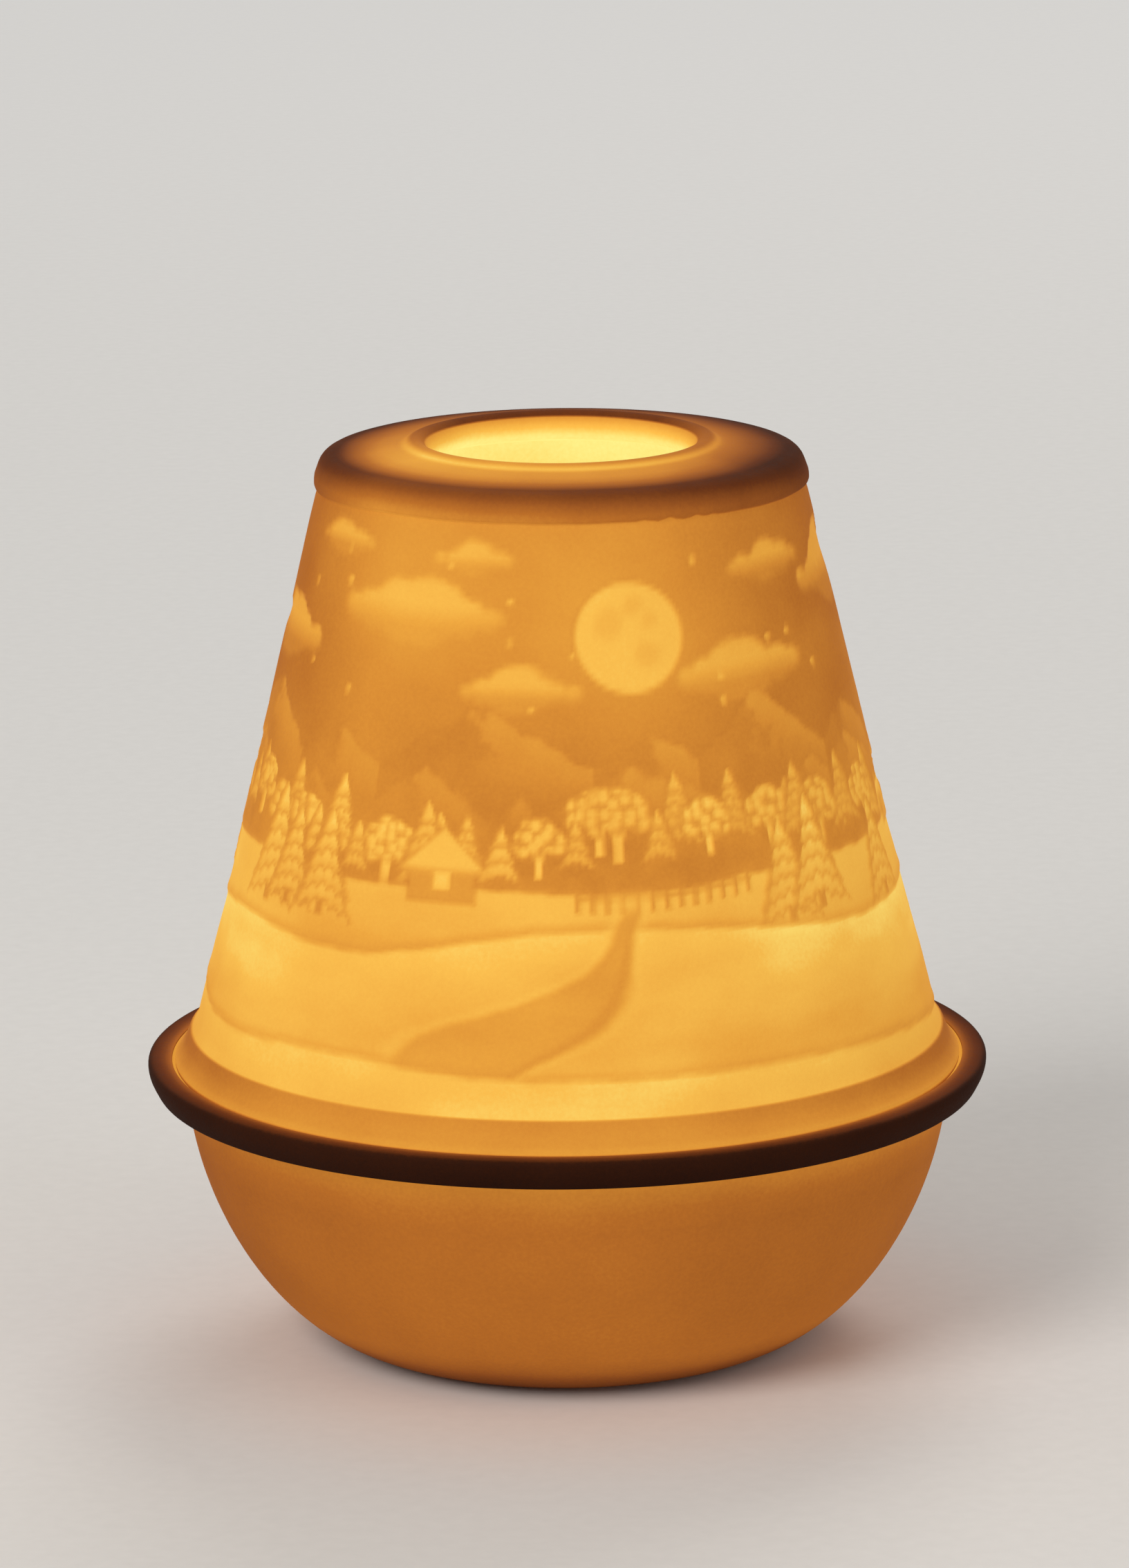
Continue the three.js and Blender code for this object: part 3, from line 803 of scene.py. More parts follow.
def waves(rng, lowest, highest):
    """A smooth line round the wall that closes on itself, between -1 and 1."""
    line = np.zeros(picture_columns)
    for k in range(lowest, highest + 1):
        line += np.sin(k * picture_angles + rng.uniform(0, 2 * pi)) / k
    return line / np.abs(line).max()


def mountains(picture, rng, count, lowest, highest, tone):
    """A ridge of peaks whose tops lie between lowest and highest."""
    places = np.linspace(-180, 180, count, endpoint=False) + rng.uniform(-8, 8, count)
    tops = rng.uniform(lowest, highest, count)
    steepness = rng.uniform(0.45, 0.75, count)
    away = np.stack([across(place) for place in places])
    crests = tops[:, None, None] - steepness[:, None, None] * np.abs(away)
    nearest = crests.argmax(0)
    below = crests.max(0) + 0.9 * rough - up
    side = np.take_along_axis(away, nearest[None], 0)[0] + 3.5 * rough
    snowy = soft(side, 1.2) * np.clip(1 - below / 9, 0, 1)
    face = tone + snowy_side * snowy + 0.02 * rough
    picture = paint(picture, soft(below + 0.5, 0.5) * 0.4, tone - 0.03)
    mist = np.clip((up - mist_height) / mist_depth, 0, 1)
    return paint(picture, soft(below, 0.6) * (0.35 + 0.65 * mist), face)


def hill(picture, crest, tone, fall, seam=0.60):
    """Snow below a crest line, brightest along the crest, with a thin dark seam above it."""
    below = crest + 0.25 * rough - up
    picture = paint(picture, soft(below + 1.0, 0.8) * 0.5, seam)
    drifts = 0.035 * snow + 0.06 * wisps * np.clip(below / 4, 0, 1)
    return paint(picture, soft(below, 0.5), tone - fall * np.clip(below / 11, 0, 1) + drifts)


print("the mist ends", mist_height + mist_depth, "mm up the wall")

# %% [markdown]
# ### Trees
#
# A conifer is a stack of tiers that end in tips, each bright with snow above and dark underneath. A leafy
# tree is a crown of a few lobes, filled with the leaf dots, over a trunk with two boughs. Sizes are
# shares of the tree's height, so that one helper draws both a far tree and a near one. A dark seam is
# painted a little larger first, so that trees that overlap stay apart.

# %% Trees
crown_lobes = 6


def conifer(picture, degrees, foot, size, tone, seam=0.59):
    """Tiers of boughs on a short trunk."""
    from_trunk = across(degrees)
    x = np.abs(from_trunk)
    y = up - foot
    trunk = np.minimum(0.045 * size - x, np.minimum(y, size * 0.3 - y))
    picture = paint(picture, soft(trunk, 0.35), seam)
    tiers = 5 if size > 9 else 3
    for k in range(tiers):
        low = 0.12 + 0.74 * k / tiers
        high = low + (0.30 + 0.9 / tiers) * (1 - 0.6 * k / tiers)
        width = 0.29 * (1 - 0.80 * k / tiers)
        share = (y / size - low) / (high - low)
        tips = np.abs(np.sin(pi * from_trunk / (0.13 * size) + 1.7 * k))
        underside = y - low * size + 0.30 * x - 0.05 * size * tips
        bough = np.minimum(width * size * (1 - share) - x, underside) + 0.25 * rough
        bough = np.where(share > 1, -9, bough)
        picture = paint(picture, soft(bough + 0.55, 0.5) * 0.75, seam)
        snow_load = tone - 0.11 * np.clip(1.1 - share * 3, 0, 1)
        picture = paint(picture, soft(bough, 0.35), snow_load)
    return picture


def leafy_tree(picture, rng, degrees, foot, size, tone, seam=0.585):
    """A crown of frosted leaves over a trunk and two boughs."""
    x = across(degrees)
    y = up - foot
    for lean in (-0.28, 0, 0.28):
        stem = np.minimum(0.05 * size - np.abs(x - lean * np.clip(y - 0.2 * size, 0, None)), y)
        picture = paint(picture, soft(np.minimum(stem, 0.6 * size - y), 0.3), tone)
    crown = 0.30 * size - np.hypot(x, y - 0.68 * size)
    for i in range(crown_lobes):
        turned_by = pi * (-0.05 + 0.22 * i) + rng.uniform(-0.15, 0.15)
        reach = rng.uniform(0.14, 0.2) * size
        lobe_x = x - 0.29 * size * cos(turned_by)
        lobe_y = y - (0.55 + 0.27 * sin(turned_by)) * size
        crown = np.maximum(crown, reach - np.hypot(lobe_x, lobe_y))
    crown = crown + 0.3 * rough
    picture = paint(picture, soft(crown + 0.5, 0.5) * 0.5, seam)
    lit = tone - 0.06 * np.clip(0.8 - y / size, 0, 1)
    return paint(picture, soft(crown, 0.4), seam + 0.05 + (lit - seam - 0.05) * leaves)


print("a crown has", crown_lobes, "lobes")

# %% [markdown]
# ### Signs of people, and water
#
# A cottage, a fence, a brook and a pond tell the eye how far away each hill is. Each is a few straight or
# winding edges, given as distances, so the smallest of the distances is the distance to the whole shape.
# The brook's edge is measured square to its course, or its banks would turn into steps where it runs
# sideways.

# %% Cottage, fence and water
cottage_seam_tone = 0.58
cottage_wall_tone = 0.66
roof_tone = 0.83
window_tone = 0.86
rail_tone = 0.64
post_tone = 0.62
post_half_width = 0.3
rail_half_width = 0.26
brook_snow_tone = 0.86
brook_bank_tone = 0.61
brook_tone = 0.685
pond_bank_tone = 0.60
pond_tone = 0.68
ripple_tone = 0.82
pond_half_height = 2.6
ripple_heights = (-1.3, -0.5, 0.3, 1.1)


def cottage(picture, degrees, foot, size):
    """A gable end under a snowy roof, with a lit window."""
    x = across(degrees)
    y = up - foot
    wall = np.minimum(size * 0.5 - np.abs(x), np.minimum(y, size * 0.55 - y))
    roof = np.minimum(size * 0.62 - np.abs(x) - (y - size * 0.45) * 1.05, y - size * 0.45)
    window = np.minimum(size * 0.13 - np.abs(x), size * 0.13 - np.abs(y - size * 0.27))
    picture = paint(picture, soft(np.maximum(wall, roof) + 0.5) * 0.7, cottage_seam_tone)
    picture = paint(picture, soft(wall, 0.35), cottage_wall_tone)
    picture = paint(picture, soft(roof + 0.2, 0.7), roof_tone)
    return paint(picture, soft(window, 0.35), window_tone)


def fence(picture, crest, first, last, step_deg=2.6, height=2.6):
    """Posts and one rail that follow the snow."""
    low = up - crest + 2.2
    reach = np.minimum(round_deg - first, last - round_deg)[None, :] * 0.7
    rail = np.minimum(rail_half_width - np.abs(low - 0.65 * height), reach)
    picture = paint(picture, soft(rail, 0.3) * 0.8, rail_tone)
    for degrees in np.arange(first, last, step_deg):
        post = np.minimum(post_half_width - np.abs(across(degrees)), np.minimum(low, height - low))
        picture = paint(picture, soft(post, 0.3), post_tone)
    return picture


def brook(picture, spring, mouth, swing, bends=1.9, widest=7.0):
    """Frozen water that winds down from its spring and widens, between a dark bank and a bright one."""
    share = np.clip((spring[1] - up) / (spring[1] - mouth[1]), 0, 1)
    winding = swing * np.sqrt(share) * np.sin(bends * pi * share)
    middle = spring[0] + (mouth[0] - spring[0]) * share + winding
    sideways = np.gradient(np.radians(middle[:, 0]) * around_radius[:, 0], up[:, 0])[:, None]
    from_middle = across(middle) / np.hypot(1, sideways)
    water = 0.7 + widest * share**1.5 - np.abs(from_middle) + 0.35 * rough
    water = np.minimum(water, (spring[1] - up) * 0.6)
    picture = paint(picture, soft(water + 1.5, 1.1) * 0.5, brook_snow_tone)
    bank = brook_bank_tone - 0.03 * np.tanh(from_middle)
    picture = paint(picture, soft(water + 0.45, 0.9) * 0.9, bank)
    return paint(picture, soft(water - 0.35, 0.9), brook_tone + 0.045 * wisps)


def pond(picture, degrees, height, half_length):
    """Still water with a dark bank and a few bright ripples."""
    x = across(degrees) / half_length
    y = (up - height) / pond_half_height
    water = (1 - np.hypot(x, y + 0.12 * np.sin(5 * x))) * pond_half_height + 0.3 * rough
    picture = paint(picture, soft(water + 0.6, 0.5) * 0.8, pond_bank_tone)
    picture = paint(picture, soft(water, 0.5), pond_tone + 0.03 * wisps)
    for k, level in enumerate(ripple_heights):
        ripple = 0.22 - np.abs(up - height - level - 0.15 * np.sin(across(degrees) * 1.3 + k))
        ripple = np.minimum(ripple, (0.75 - np.abs(x - 0.15 * sin(3 * k))) * 2)
        picture = paint(picture, soft(ripple, 0.3) * soft(water - 0.4), ripple_tone)
    return picture


print("the pond is", 2 * pond_half_height, "mm high with", len(ripple_heights), "ripples")

# %% [markdown]
# ### Composition
#
# The sky keeps a middle tone, brightest at the front and the back and dark to the sides, where the
# darkening is painted shade; the moon, the clouds and the trees stand out against it. It darkens towards
# the mountains. The snow in front is brightest, because the lamp stands low in the bowl and its light is
# strongest there. Places are degrees from the front and millimetres up the wall.

# %% Painting the landscape
# The sky's tone by angle carries painted shade: dark to the sides, brightest at the front and the back.
sky_shade_deg = [-135, -75, -42, 15, 50, 80, 140]
sky_tones_with_side_shade = [0.59, 0.55, 0.64, 0.605, 0.59, 0.565, 0.60]
dusk_heights = [38, 52, 60]
dusk_tones = [0.07, 0.035, 0]
stars = 40
cloud_tone = 0.79
clouds = [(-33, 62, 23), (40, 54, 20), (-9, 53, 15), (-79, 56, 22), (84, 63, 25), (128, 55, 20)]
clouds += [(-125, 63, 22), (178, 58, 26), (52, 67.0, 14), (-58, 70, 12), (-20, 69.5, 10)]
far_trees = 66
near_trees = [-63, -55, -47, 41, 50, 71, 104, 112, 150, -96, -104, -140]
cottages = [(-22, 27, 8.5), (88, 29, 8), (-120, 28, 7)]


def paint_sky(rng):
    sky_with_side_shade = np.interp(round_deg, sky_shade_deg, sky_tones_with_side_shade, period=360)[None, :]
    in_front = np.interp(np.abs(round_deg), [40, 80], [1, 0.1])
    picture = sky_with_side_shade - np.interp(up, dusk_heights, dusk_tones) * in_front + 0.018 * wisps
    for _ in range(stars):
        spot = (rng.uniform(-180, 180), rng.uniform(50, 71))
        picture = star(picture, *spot, rng.uniform(0.3, 0.55))
    picture = moon(picture, degrees=14, height=60, radius=7)
    for degrees, height, length in clouds:
        picture = cloud(picture, rng, degrees, height, length, cloud_tone)
    return picture


def plant_forest(picture, rng):
    """The far line of trees, in a random order, so that any one may stand in front of its neighbours."""
    places = np.linspace(-180, 180, far_trees, endpoint=False)
    for place in rng.permutation(places):
        degrees = place + rng.uniform(-2, 2)
        foot = 31 + 2.2 * sin(radians(degrees * 3)) + rng.uniform(-1.4, 1.2)
        tone = rng.uniform(0.80, 0.87)
        if rng.uniform() < 0.5:
            picture = conifer(picture, degrees, foot, rng.uniform(6.5, 12), tone)
        else:
            picture = leafy_tree(picture, rng, degrees, foot, rng.uniform(6.5, 9.5), tone)
    return picture


def plant_near_trees(picture, rng):
    for place in near_trees:
        degrees = place + rng.uniform(-1.2, 1.2)
        size = rng.uniform(12.5, 17)
        picture = conifer(picture, degrees, 22 + rng.uniform(-1.5, 1.5), size, rng.uniform(0.84, 0.87))
    return picture


def paint_landscape(rng):
    picture = paint_sky(rng)
    picture = mountains(picture, rng, count=13, lowest=45, highest=52, tone=0.575)
    picture = mountains(picture, rng, count=19, lowest=40, highest=45, tone=0.60)
    forest_edge = (37.5 + 1.6 * waves(rng, 3, 16))[None, :] + 1.3 * rough
    picture = paint(picture, soft(forest_edge - up, 1.2) * 0.8, 0.575 + 0.03 * rough)
    picture = plant_forest(picture, rng)
    middle_crest = (29.5 + 3.2 * waves(rng, 1, 7))[None, :]
    picture = hill(picture, middle_crest, tone=0.81, fall=0.10)
    for first, last in ((2, 34), (118, 170)):
        picture = fence(picture, middle_crest, first, last)
    for degrees, foot, size in cottages:
        picture = cottage(picture, degrees, foot, size)
    picture = plant_near_trees(picture, rng)
    near_crest = (19 + 5.5 * waves(rng, 1, 6))[None, :]
    picture = hill(picture, near_crest, tone=0.855, fall=0.09, seam=0.62)
    picture = brook(picture, spring=(11, 25), mouth=(-16, 1.5), swing=7)
    picture = pond(picture, degrees=158, height=9.5, half_length=13)
    front_crest = (5.0 + 4.5 * waves(rng, 1, 6))[None, :]
    return hill(picture, front_crest, tone=0.85, fall=0.05, seam=0.64)


landscape = paint_landscape(picture_rng)
print("tones from", round(float(landscape.min()), 2), "to", round(float(landscape.max()), 2))

# %% [markdown]
# ## The shade
#
# The shade is one casting: a plain foot that flares out to stand in the rebate, the picture, and a plain
# collar that turns in over the top and ends in a bead round the mouth. The skin has a column about every
# half millimetre where the picture is carved and a quarter as many elsewhere. Bright places lie up to 0.4
# mm deeper than the mean wall and seams stand proud, which is what makes the edge of the shade look
# rough. A displace modifier could carve the same picture, but the tones would then have to be an image
# file.
#
# The sides of the wall glow less, by painted shade that is set by the angle from the front. It is
# strongest near the top and the foot of the picture, and in the middle heights it turns to a little
# painted light.

# %% Carving the picture
carving_depth = 1.5 * MM  # from a tone of 0 to a tone of 1
mean_tone = 0.63
carving_fade = 1.2 * MM  # the relief starts from nothing at the borders of the picture
# Painted shade at the sides: how much the glow drops at each angle, and the share of it at each height.
side_shade_deg = [-130, -85, -38, 15, 60, 90, 130]
side_shade_amounts = [0.03, 0.10, 0.0, 0.0, 0.07, 0.11, 0.04]
side_shade_heights = [0, 5, 11, 24, 45, 60]  # millimetres up the wall
side_shade_shares = [1, 0.5, -0.4, -0.4, 0.3, 1]
collar_edge_deg = [-110, -75, -45, 0, 45, 90, 150]
collar_edge_mm = [-0.3, -0.5, 0.18, 0.26, 0.0, -0.25, 0.0]
collar_waver = 0.05 * MM
edge_nicks = [(19, 1.2, 0.16), (22.5, 0.6, -0.12), (25.5, 1.3, 0.30), (29, 0.5, -0.1)]
edge_nicks += [(32.5, 1.2, 0.26), (37, 0.9, 0.12)]  # degrees, width in degrees, height in millimetres


def painted_side_shade(degrees):
    """How much painted shade darkens the glow at each number of degrees from the front."""
    return np.interp(degrees, side_shade_deg, side_shade_amounts, period=360)


def collar_edge():
    """How far the trimmed edge of the collar strays up and down, with its slow wave and its nicks."""
    waver = 0.5 * np.sin(5 * picture_angles + 1) + 0.35 * np.sin(13 * picture_angles)
    waver = waver + 0.3 * np.sin(31 * picture_angles)
    edge = np.interp(round_deg, collar_edge_deg, collar_edge_mm, period=360) * MM + collar_waver * waver
    for degrees, width, height in edge_nicks:
        edge += height * MM * np.exp(-((wrapped(round_deg - degrees) / width) ** 2))
    return edge


trimmed_edge = collar_edge()


def picture_rings():
    fade = np.clip(np.minimum(wall_rise, 1 - wall_rise) * slant / carving_fade, 0, 1)[:, None]
    depth = (landscape - mean_tone) * carving_depth * fade
    # The glow takes the painted side shade here.
    light = landscape - painted_side_shade(round_deg) * np.interp(up, side_shade_heights, side_shade_shares)
    follow = np.interp(wall_rise, [0.93, 1], [0, 1])
    rings = []
    for i in range(picture_rows):
        heights = wall_height[i] + follow[i] * trimmed_edge
        rings.append((picture_angles, wall_radius[i] - depth[i], heights, light[i]))
    return rings


deepest = (landscape.max() - mean_tone) * carving_depth / MM
proudest = (mean_tone - landscape.min()) * carving_depth / MM
print("carved", round(float(deepest), 2), "mm deep, seams", round(float(proudest), 2), "mm proud")

# %% [markdown]
# ### Foot of the shade
#
# The foot flares out below the picture in a hollow curve and ends in a small upright edge. The same
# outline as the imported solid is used, with softer corners. Its edge is bright, because it sits in the
# rebate next to the light that leaves the bowl, and the flare above it is duller where the clay is
# thicker.

# %% Foot of the shade
plain_columns = 144
plain_deg = wrapped(np.degrees(column_angles(plain_columns)) + 90)
border_radius = 49.5 * MM
border_height = shade_foot + 4.35 * MM
foot_edge_height = shade_foot + 0.95 * MM
foot_inside = 46.6 * MM
flare_shares = (0.34, 0.36)  # where the flare's curve is pulled to, out and up
foot_heights = [0.3, 0.7, 1.0, 1.6, 2.6, 3.6, 4.3, 4.6]
foot_tones = [0.42, 0.70, 0.67, 0.63, 0.62, 0.60, 0.59, 0.66]


def flare(steps=10):
    """The hollow curve from the edge of the foot up to the border of the picture."""
    start = Vector((shade_foot_radius, foot_edge_height))
    end = Vector((border_radius, border_height))
    pull_out = end.x + (start.x - end.x) * flare_shares[0]
    pull_up = start.y + (end.y - start.y) * flare_shares[1]
    return [(*bend(start, Vector((pull_out, pull_up)), end, k / steps), 0) for k in range(1, steps)]


def foot_glow(radius, height):
    """Brightest along the edge of the foot, and duller up the flare, most of all at the sides, where
    painted shade darkens it.
    """
    up_foot = (height - shade_foot) / MM
    tone = np.interp(up_foot, foot_heights, foot_tones)
    return tone - painted_side_shade(plain_deg) * np.interp(up_foot, [1, 3], [0.5, 1.4])


def foot_rings():
    corners = [
        (foot_inside + 2 * MM, shade_foot, 0),
        (shade_foot_radius, shade_foot, 0.35 * MM),
        (shade_foot_radius, foot_edge_height, 0.35 * MM),
        *flare(),
        (border_radius, border_height, 0.12 * MM),
        (picture_low_radius, picture_low, 0),
    ]
    points = soften(corners, 0.6 * MM)[:-1]
    return [ring_of(p.x, p.y, foot_glow(p.x, p.y), plain_columns) for p in points]


print("the foot has", len(foot_rings()), "rings")

# %% [markdown]
# ### How the collar glows
#
# The clay is thickest where the top meets the side, so a dark line runs all round the shoulder. Below it
# the glow comes back towards the picture, most at the front left and least at the right, where painted
# shade darkens it. On the top it comes back towards the mouth, with a bright groove at the foot of the
# bead; the bead itself is a little darker again, and painted shade darkens the top towards the back. A
# few tones on each side of the lamp say this, and the tones between them follow from the angle.

# %% Glow of the collar
shoulder_height = 81  # millimetres above the foot of the shade
face_drop = 3.9
# Tones by angle carry painted shade: the collar's face is darker at the right and the back.
face_side_shade_deg = [-120, -78, -47, -10, 44, 90]
shoulder_tones = [0.13, 0.15, 0.26, 0.265, 0.145, 0.115]
trimmed_tones = [0.31, 0.37, 0.60, 0.55, 0.385, 0.24]
face_shares = [0, 0.2, 0.45, 0.7, 1]  # from the shoulder down to the trimmed edge
face_light_shares = [0, 0.2, 0.55, 0.87, 1]

# Tones by angle carry painted shade: the collar's top is darker at the right and the back.
plate_side_shade_deg = [-135, -90, -60, -20, 30, 60, 90, 135]
bead_tones = [0.22, 0.48, 0.60, 0.66, 0.54, 0.50, 0.43, 0.24]
groove_tones = [0.34, 0.66, 0.88, 0.86, 0.80, 0.67, 0.58, 0.34]
plate_inner_tones = [0.46, 0.59, 0.72, 0.66, 0.62, 0.53, 0.50, 0.44]
plate_outer_tones = [0.12, 0.14, 0.24, 0.25, 0.18, 0.13, 0.12, 0.12]
plate_bends = [1.5, 2.0, 2.3, 2.3, 2.3, 1.3, 1.1, 1.2]  # the higher, the further the light reaches
groove_radius = 20.3
groove_width = 0.5
plate_start = groove_radius + 0.8
plate_end = 29


def by_side(degrees, places, tones):
    return np.interp(degrees, places, tones, period=360)


def face_tone(degrees, height):
    """The side of the collar, from its shoulder down to its trimmed edge."""
    share = (shoulder_height - height) / face_drop
    dark = by_side(degrees, face_side_shade_deg, shoulder_tones)
    lit = by_side(degrees, face_side_shade_deg, trimmed_tones)
    return dark + (lit - dark) * np.interp(share, face_shares, face_light_shares)


def plate_tone(degrees, radius):
    """The top of the collar at a radius in millimetres."""
    inner = by_side(degrees, plate_side_shade_deg, plate_inner_tones)
    outer = by_side(degrees, plate_side_shade_deg, plate_outer_tones)
    share = np.clip((radius - plate_start) / (plate_end - plate_start), 0, 1)
    tone = inner + (outer - inner) * share ** by_side(degrees, plate_side_shade_deg, plate_bends)
    if radius < groove_radius:
        beside = np.interp(radius, [groove_radius - 1, groove_radius], [0, 1])
        tone = tone * beside + by_side(degrees, plate_side_shade_deg, bead_tones) * (1 - beside)
    groove = np.exp(-(((radius - groove_radius) / groove_width) ** 2))
    return tone + (by_side(degrees, plate_side_shade_deg, groove_tones) - tone) * groove


print("shoulder and mouth at the front:", [round(float(plate_tone(0, r)), 2) for r in (28.5, 21.5)])

# %% [markdown]
# ### Collar and inside
#
# The lower edge of the collar was trimmed by hand in the wax, so it wavers a little, and right of the
# front the knife slipped and left a few small nicks. Four rings with as many columns as the picture carry
# that edge. From the shoulder on, over the top, round the mouth and down the inside, the skin is plain
# again, and it closes at the foot where it began, so that the shade is one solid wall.

# %% Rings of the collar and the inside
collar_profile = [  # radius, height, share of the edge's waver, and how much brighter it is
    (31.62, 76.95, 0.95, 0.05),
    (31.90, 77.12, 1.0, 0.0),
    (31.98, 77.35, 0.9, 0.0),
    (31.97, 77.70, 0.5, 0.0),
]
top_corners = [  # radius, height above the foot of the shade and rounding, in millimetres
    (31.9, 78.0, 0),
    (31.0, 80.5, 2.2),
    (28.6, 80.95, 1.6),
    (20.6, 81.75, 1.0),
    (19.5, 82.5, 1.0),
    (18.1, 82.5, 1.5),
    (16.9, 81.0, 1.6),
    (16.9, 79.0, 1.1),
    (21.0, 77.95, 1.0),
    (28.85, 77.95, 3.4),
    (28.85, 74.1, 2.0),
    (46.45, 4.35, 1.0),
]
lip_heights = [79.5, 79.9, 80.3, 80.8, 81.3, 81.8, 82.3]
lip_tones = [0.98, 0.93, 0.88, 0.82, 0.74, 0.64, 0.53]
lining_heights = [0, 6, 40, 70, 78]
lining_tones = [0.95, 0.98, 0.97, 0.95, 0.99]


def collar_rings():
    rings = []
    for radius, height, share, extra in collar_profile:
        heights = shade_foot + height * MM + trimmed_edge * share
        glow = face_tone(round_deg, height) + extra
        rings.append((picture_angles, np.full(picture_columns, radius * MM), heights, glow))
    return rings


def on_lining(radius, height):
    """Whether a point, in millimetres, is under the top or on the inside of the wall."""
    under_top = height < 78.0 and radius < 30 or height < 80 and radius < 28.9
    return under_top or radius > 28 and height < 77.5


def top_glow(radius, height):
    radius_mm = radius / MM
    height_mm = (height - shade_foot) / MM
    if radius_mm < 17.6 and height_mm > 78.4:
        return np.interp(height_mm, lip_heights, lip_tones)
    if on_lining(radius_mm, height_mm):
        return np.interp(height_mm, lining_heights, lining_tones)
    if radius_mm > plate_end:
        return face_tone(plain_deg, height_mm)
    return plate_tone(plain_deg, radius_mm)


def top_rings():
    corners = [(r * MM, shade_foot + h * MM, rounding * MM) for r, h, rounding in top_corners]
    corners += [(foot_inside, shade_foot, 0.4 * MM), (foot_inside + 2 * MM, shade_foot, 0)]
    points = soften(corners, 2.4 * MM, 5)[:-1]
    return [ring_of(p.x, p.y, top_glow(p.x, p.y), plain_columns) for p in points]


shade = skin("picture_shade", foot_rings() + picture_rings() + collar_rings() + top_rings(), closed=True)
dress(coat(shade, shade_porcelain), "shade_porcelain", "shade", "shade")
print("shade triangles:", sum(len(face.vertices) - 2 for face in shade.data.polygons))

# %% [markdown]
# ## Finishes of the light unit
#
# The light unit is a plain product: matt moulded plastic, rubber feet, a steel socket. Such surfaces are
# never quite one colour. Photographs of them could be used as image textures, but they would show seams
# and lose their scale. So each finish mixes two close tones by a noise, lets the same noise move the
# roughness, and adds a fine bump at the scale of the mould or the brushing.

# %% Finishes
roughness_play = 0.05


def finish(name, dark, light, spot_mm, roughness, grain_mm, depth_mm, more=None, stretch=(1, 1, 1)):
    """Two tones in patches of spot_mm, with grain of grain_mm and depth_mm; stretch draws it out."""
    material, tree, shader = new_material(name)
    place = add_node(tree, "Mapping", {"Vector": place_in(tree), "Scale": stretch}).outputs["Vector"]
    spots = noise(tree, place, 0.5 / (spot_mm * MM), 3)
    tone = ramp(tree, spots, [(0.35, linear(dark)), (0.65, linear(light))])
    rough_or_smooth = moved(tree, spots, roughness - roughness_play, roughness + roughness_play)
    grain = bump(tree, noise(tree, place, 0.5 / (grain_mm * MM), 2), depth_mm * MM)
    set_inputs(tree, shader, {"Base Color": tone, "Roughness": rough_or_smooth, "Normal": grain})
    set_inputs(tree, shader, more or {})
    return material


metal = {"Metallic": 0.95}
foil = {"Metallic": 0.5}
milky = {"Subsurface Weight": 0.15, "Subsurface Scale": 0.001}
clear = {"Transmission Weight": 0.9, "IOR": 1.49}
shell_plastic = finish("shell_plastic_matt", "#f0e5d8", "#f5ece1", 9, 0.48, 0.12, 0.006)
button_plastic = finish("button_soft_grey", "#4a4845", "#55524e", 3, 0.55, 0.10, 0.008)
reflector_white = finish("reflector_gloss_white", "#efece4", "#f6f4ee", 5, 0.35, 0.3, 0.003)
foot_rubber = finish("foot_rubber_dark", "#262524", "#312f2d", 1.5, 0.82, 0.08, 0.015)
silicone = finish("silicone_milky", "#dac8ad", "#e3d3bb", 6, 0.62, 0.2, 0.004, milky)
steel = finish("steel_brushed", "#97999b", "#b3b5b7", 0.5, 0.3, 0.05, 0.003, metal, (1, 1, 0.08))
brass = finish("brass_turned", "#a88442", "#c3a05c", 0.4, 0.3, 0.05, 0.003, metal, (0.1, 0.1, 1))
black_plastic = finish("black_plastic_matt", "#17171a", "#232326", 1, 0.5, 0.06, 0.004)
ferrite = finish("ferrite_grey", "#3d3a37", "#4e4a46", 0.5, 0.68, 0.08, 0.02)
foam = finish("foam_grey", "#2f2f32", "#454549", 0.6, 0.95, 0.25, 0.08)
battery_foil = finish("battery_foil_silver", "#8c949e", "#a7aeb6", 2.5, 0.34, 0.9, 0.05, foil)
red_lead = finish("lead_red_sleeve", "#992620", "#b03028", 1, 0.42, 0.2, 0.003)
black_lead = finish("lead_black_sleeve", "#1a1a1c", "#28282a", 1, 0.42, 0.2, 0.003)
led_package = finish("led_package_white", "#ddd9cd", "#e9e6dc", 0.5, 0.4, 0.1, 0.002)
clear_plastic = finish("clear_light_pipe", "#eef2f2", "#f8fafa", 0.8, 0.12, 0.3, 0.001, clear)
print("materials in the file:", len(bpy.data.materials))

# %% [markdown]
# ### Lit plastic
#
# The dome over the diodes is frosted, so the light leaves it evenly: pale in the crown, warmer where it
# meets the shell. Real lamps under a scattering dome would be slow and noisy, so the same glow attribute
# as on the porcelain drives it, with colours of its own. The diodes under it carry yellow phosphor that
# shines as well.

# %% Dome and phosphor finishes
lit_frosted = [(0.0, "#e9c48a"), (0.45, "#f8dc9c"), (0.8, "#ffeebd"), (1.0, "#fff8dc")]
lit_phosphor = [(0.0, "#f0b93c"), (1.0, "#ffe9a0")]
frosted_diffuser = glowing("frosted_diffuser_lit", lit_frosted, [0.5, 0.7, 0.9, 0.95], 0.02, 0.01)
phosphor = glowing("phosphor_lit", lit_phosphor, [0.6, 0.8, 0.9, 1.0], 0.05, 0.03)
print("lit plastics:", frosted_diffuser.name, phosphor.name)

# %% [markdown]
# ### Circuit board
#
# A circuit board is glass fibre under a green lacquer, with copper tracks that show through as a lighter
# green. Drawing every track would be as much work as laying out the board, and it is seen only when the
# unit is open. Brick joints, turned to a slant, read as a pattern of tracks at this size.

# %% Board finish
board_tones = {"Color1": "#1d5638", "Color2": "#20603f", "Mortar": "#2f7a50"}  # the joints are the tracks
track_scale = 420
track_share = 0.035
track_depth = 0.03 * MM


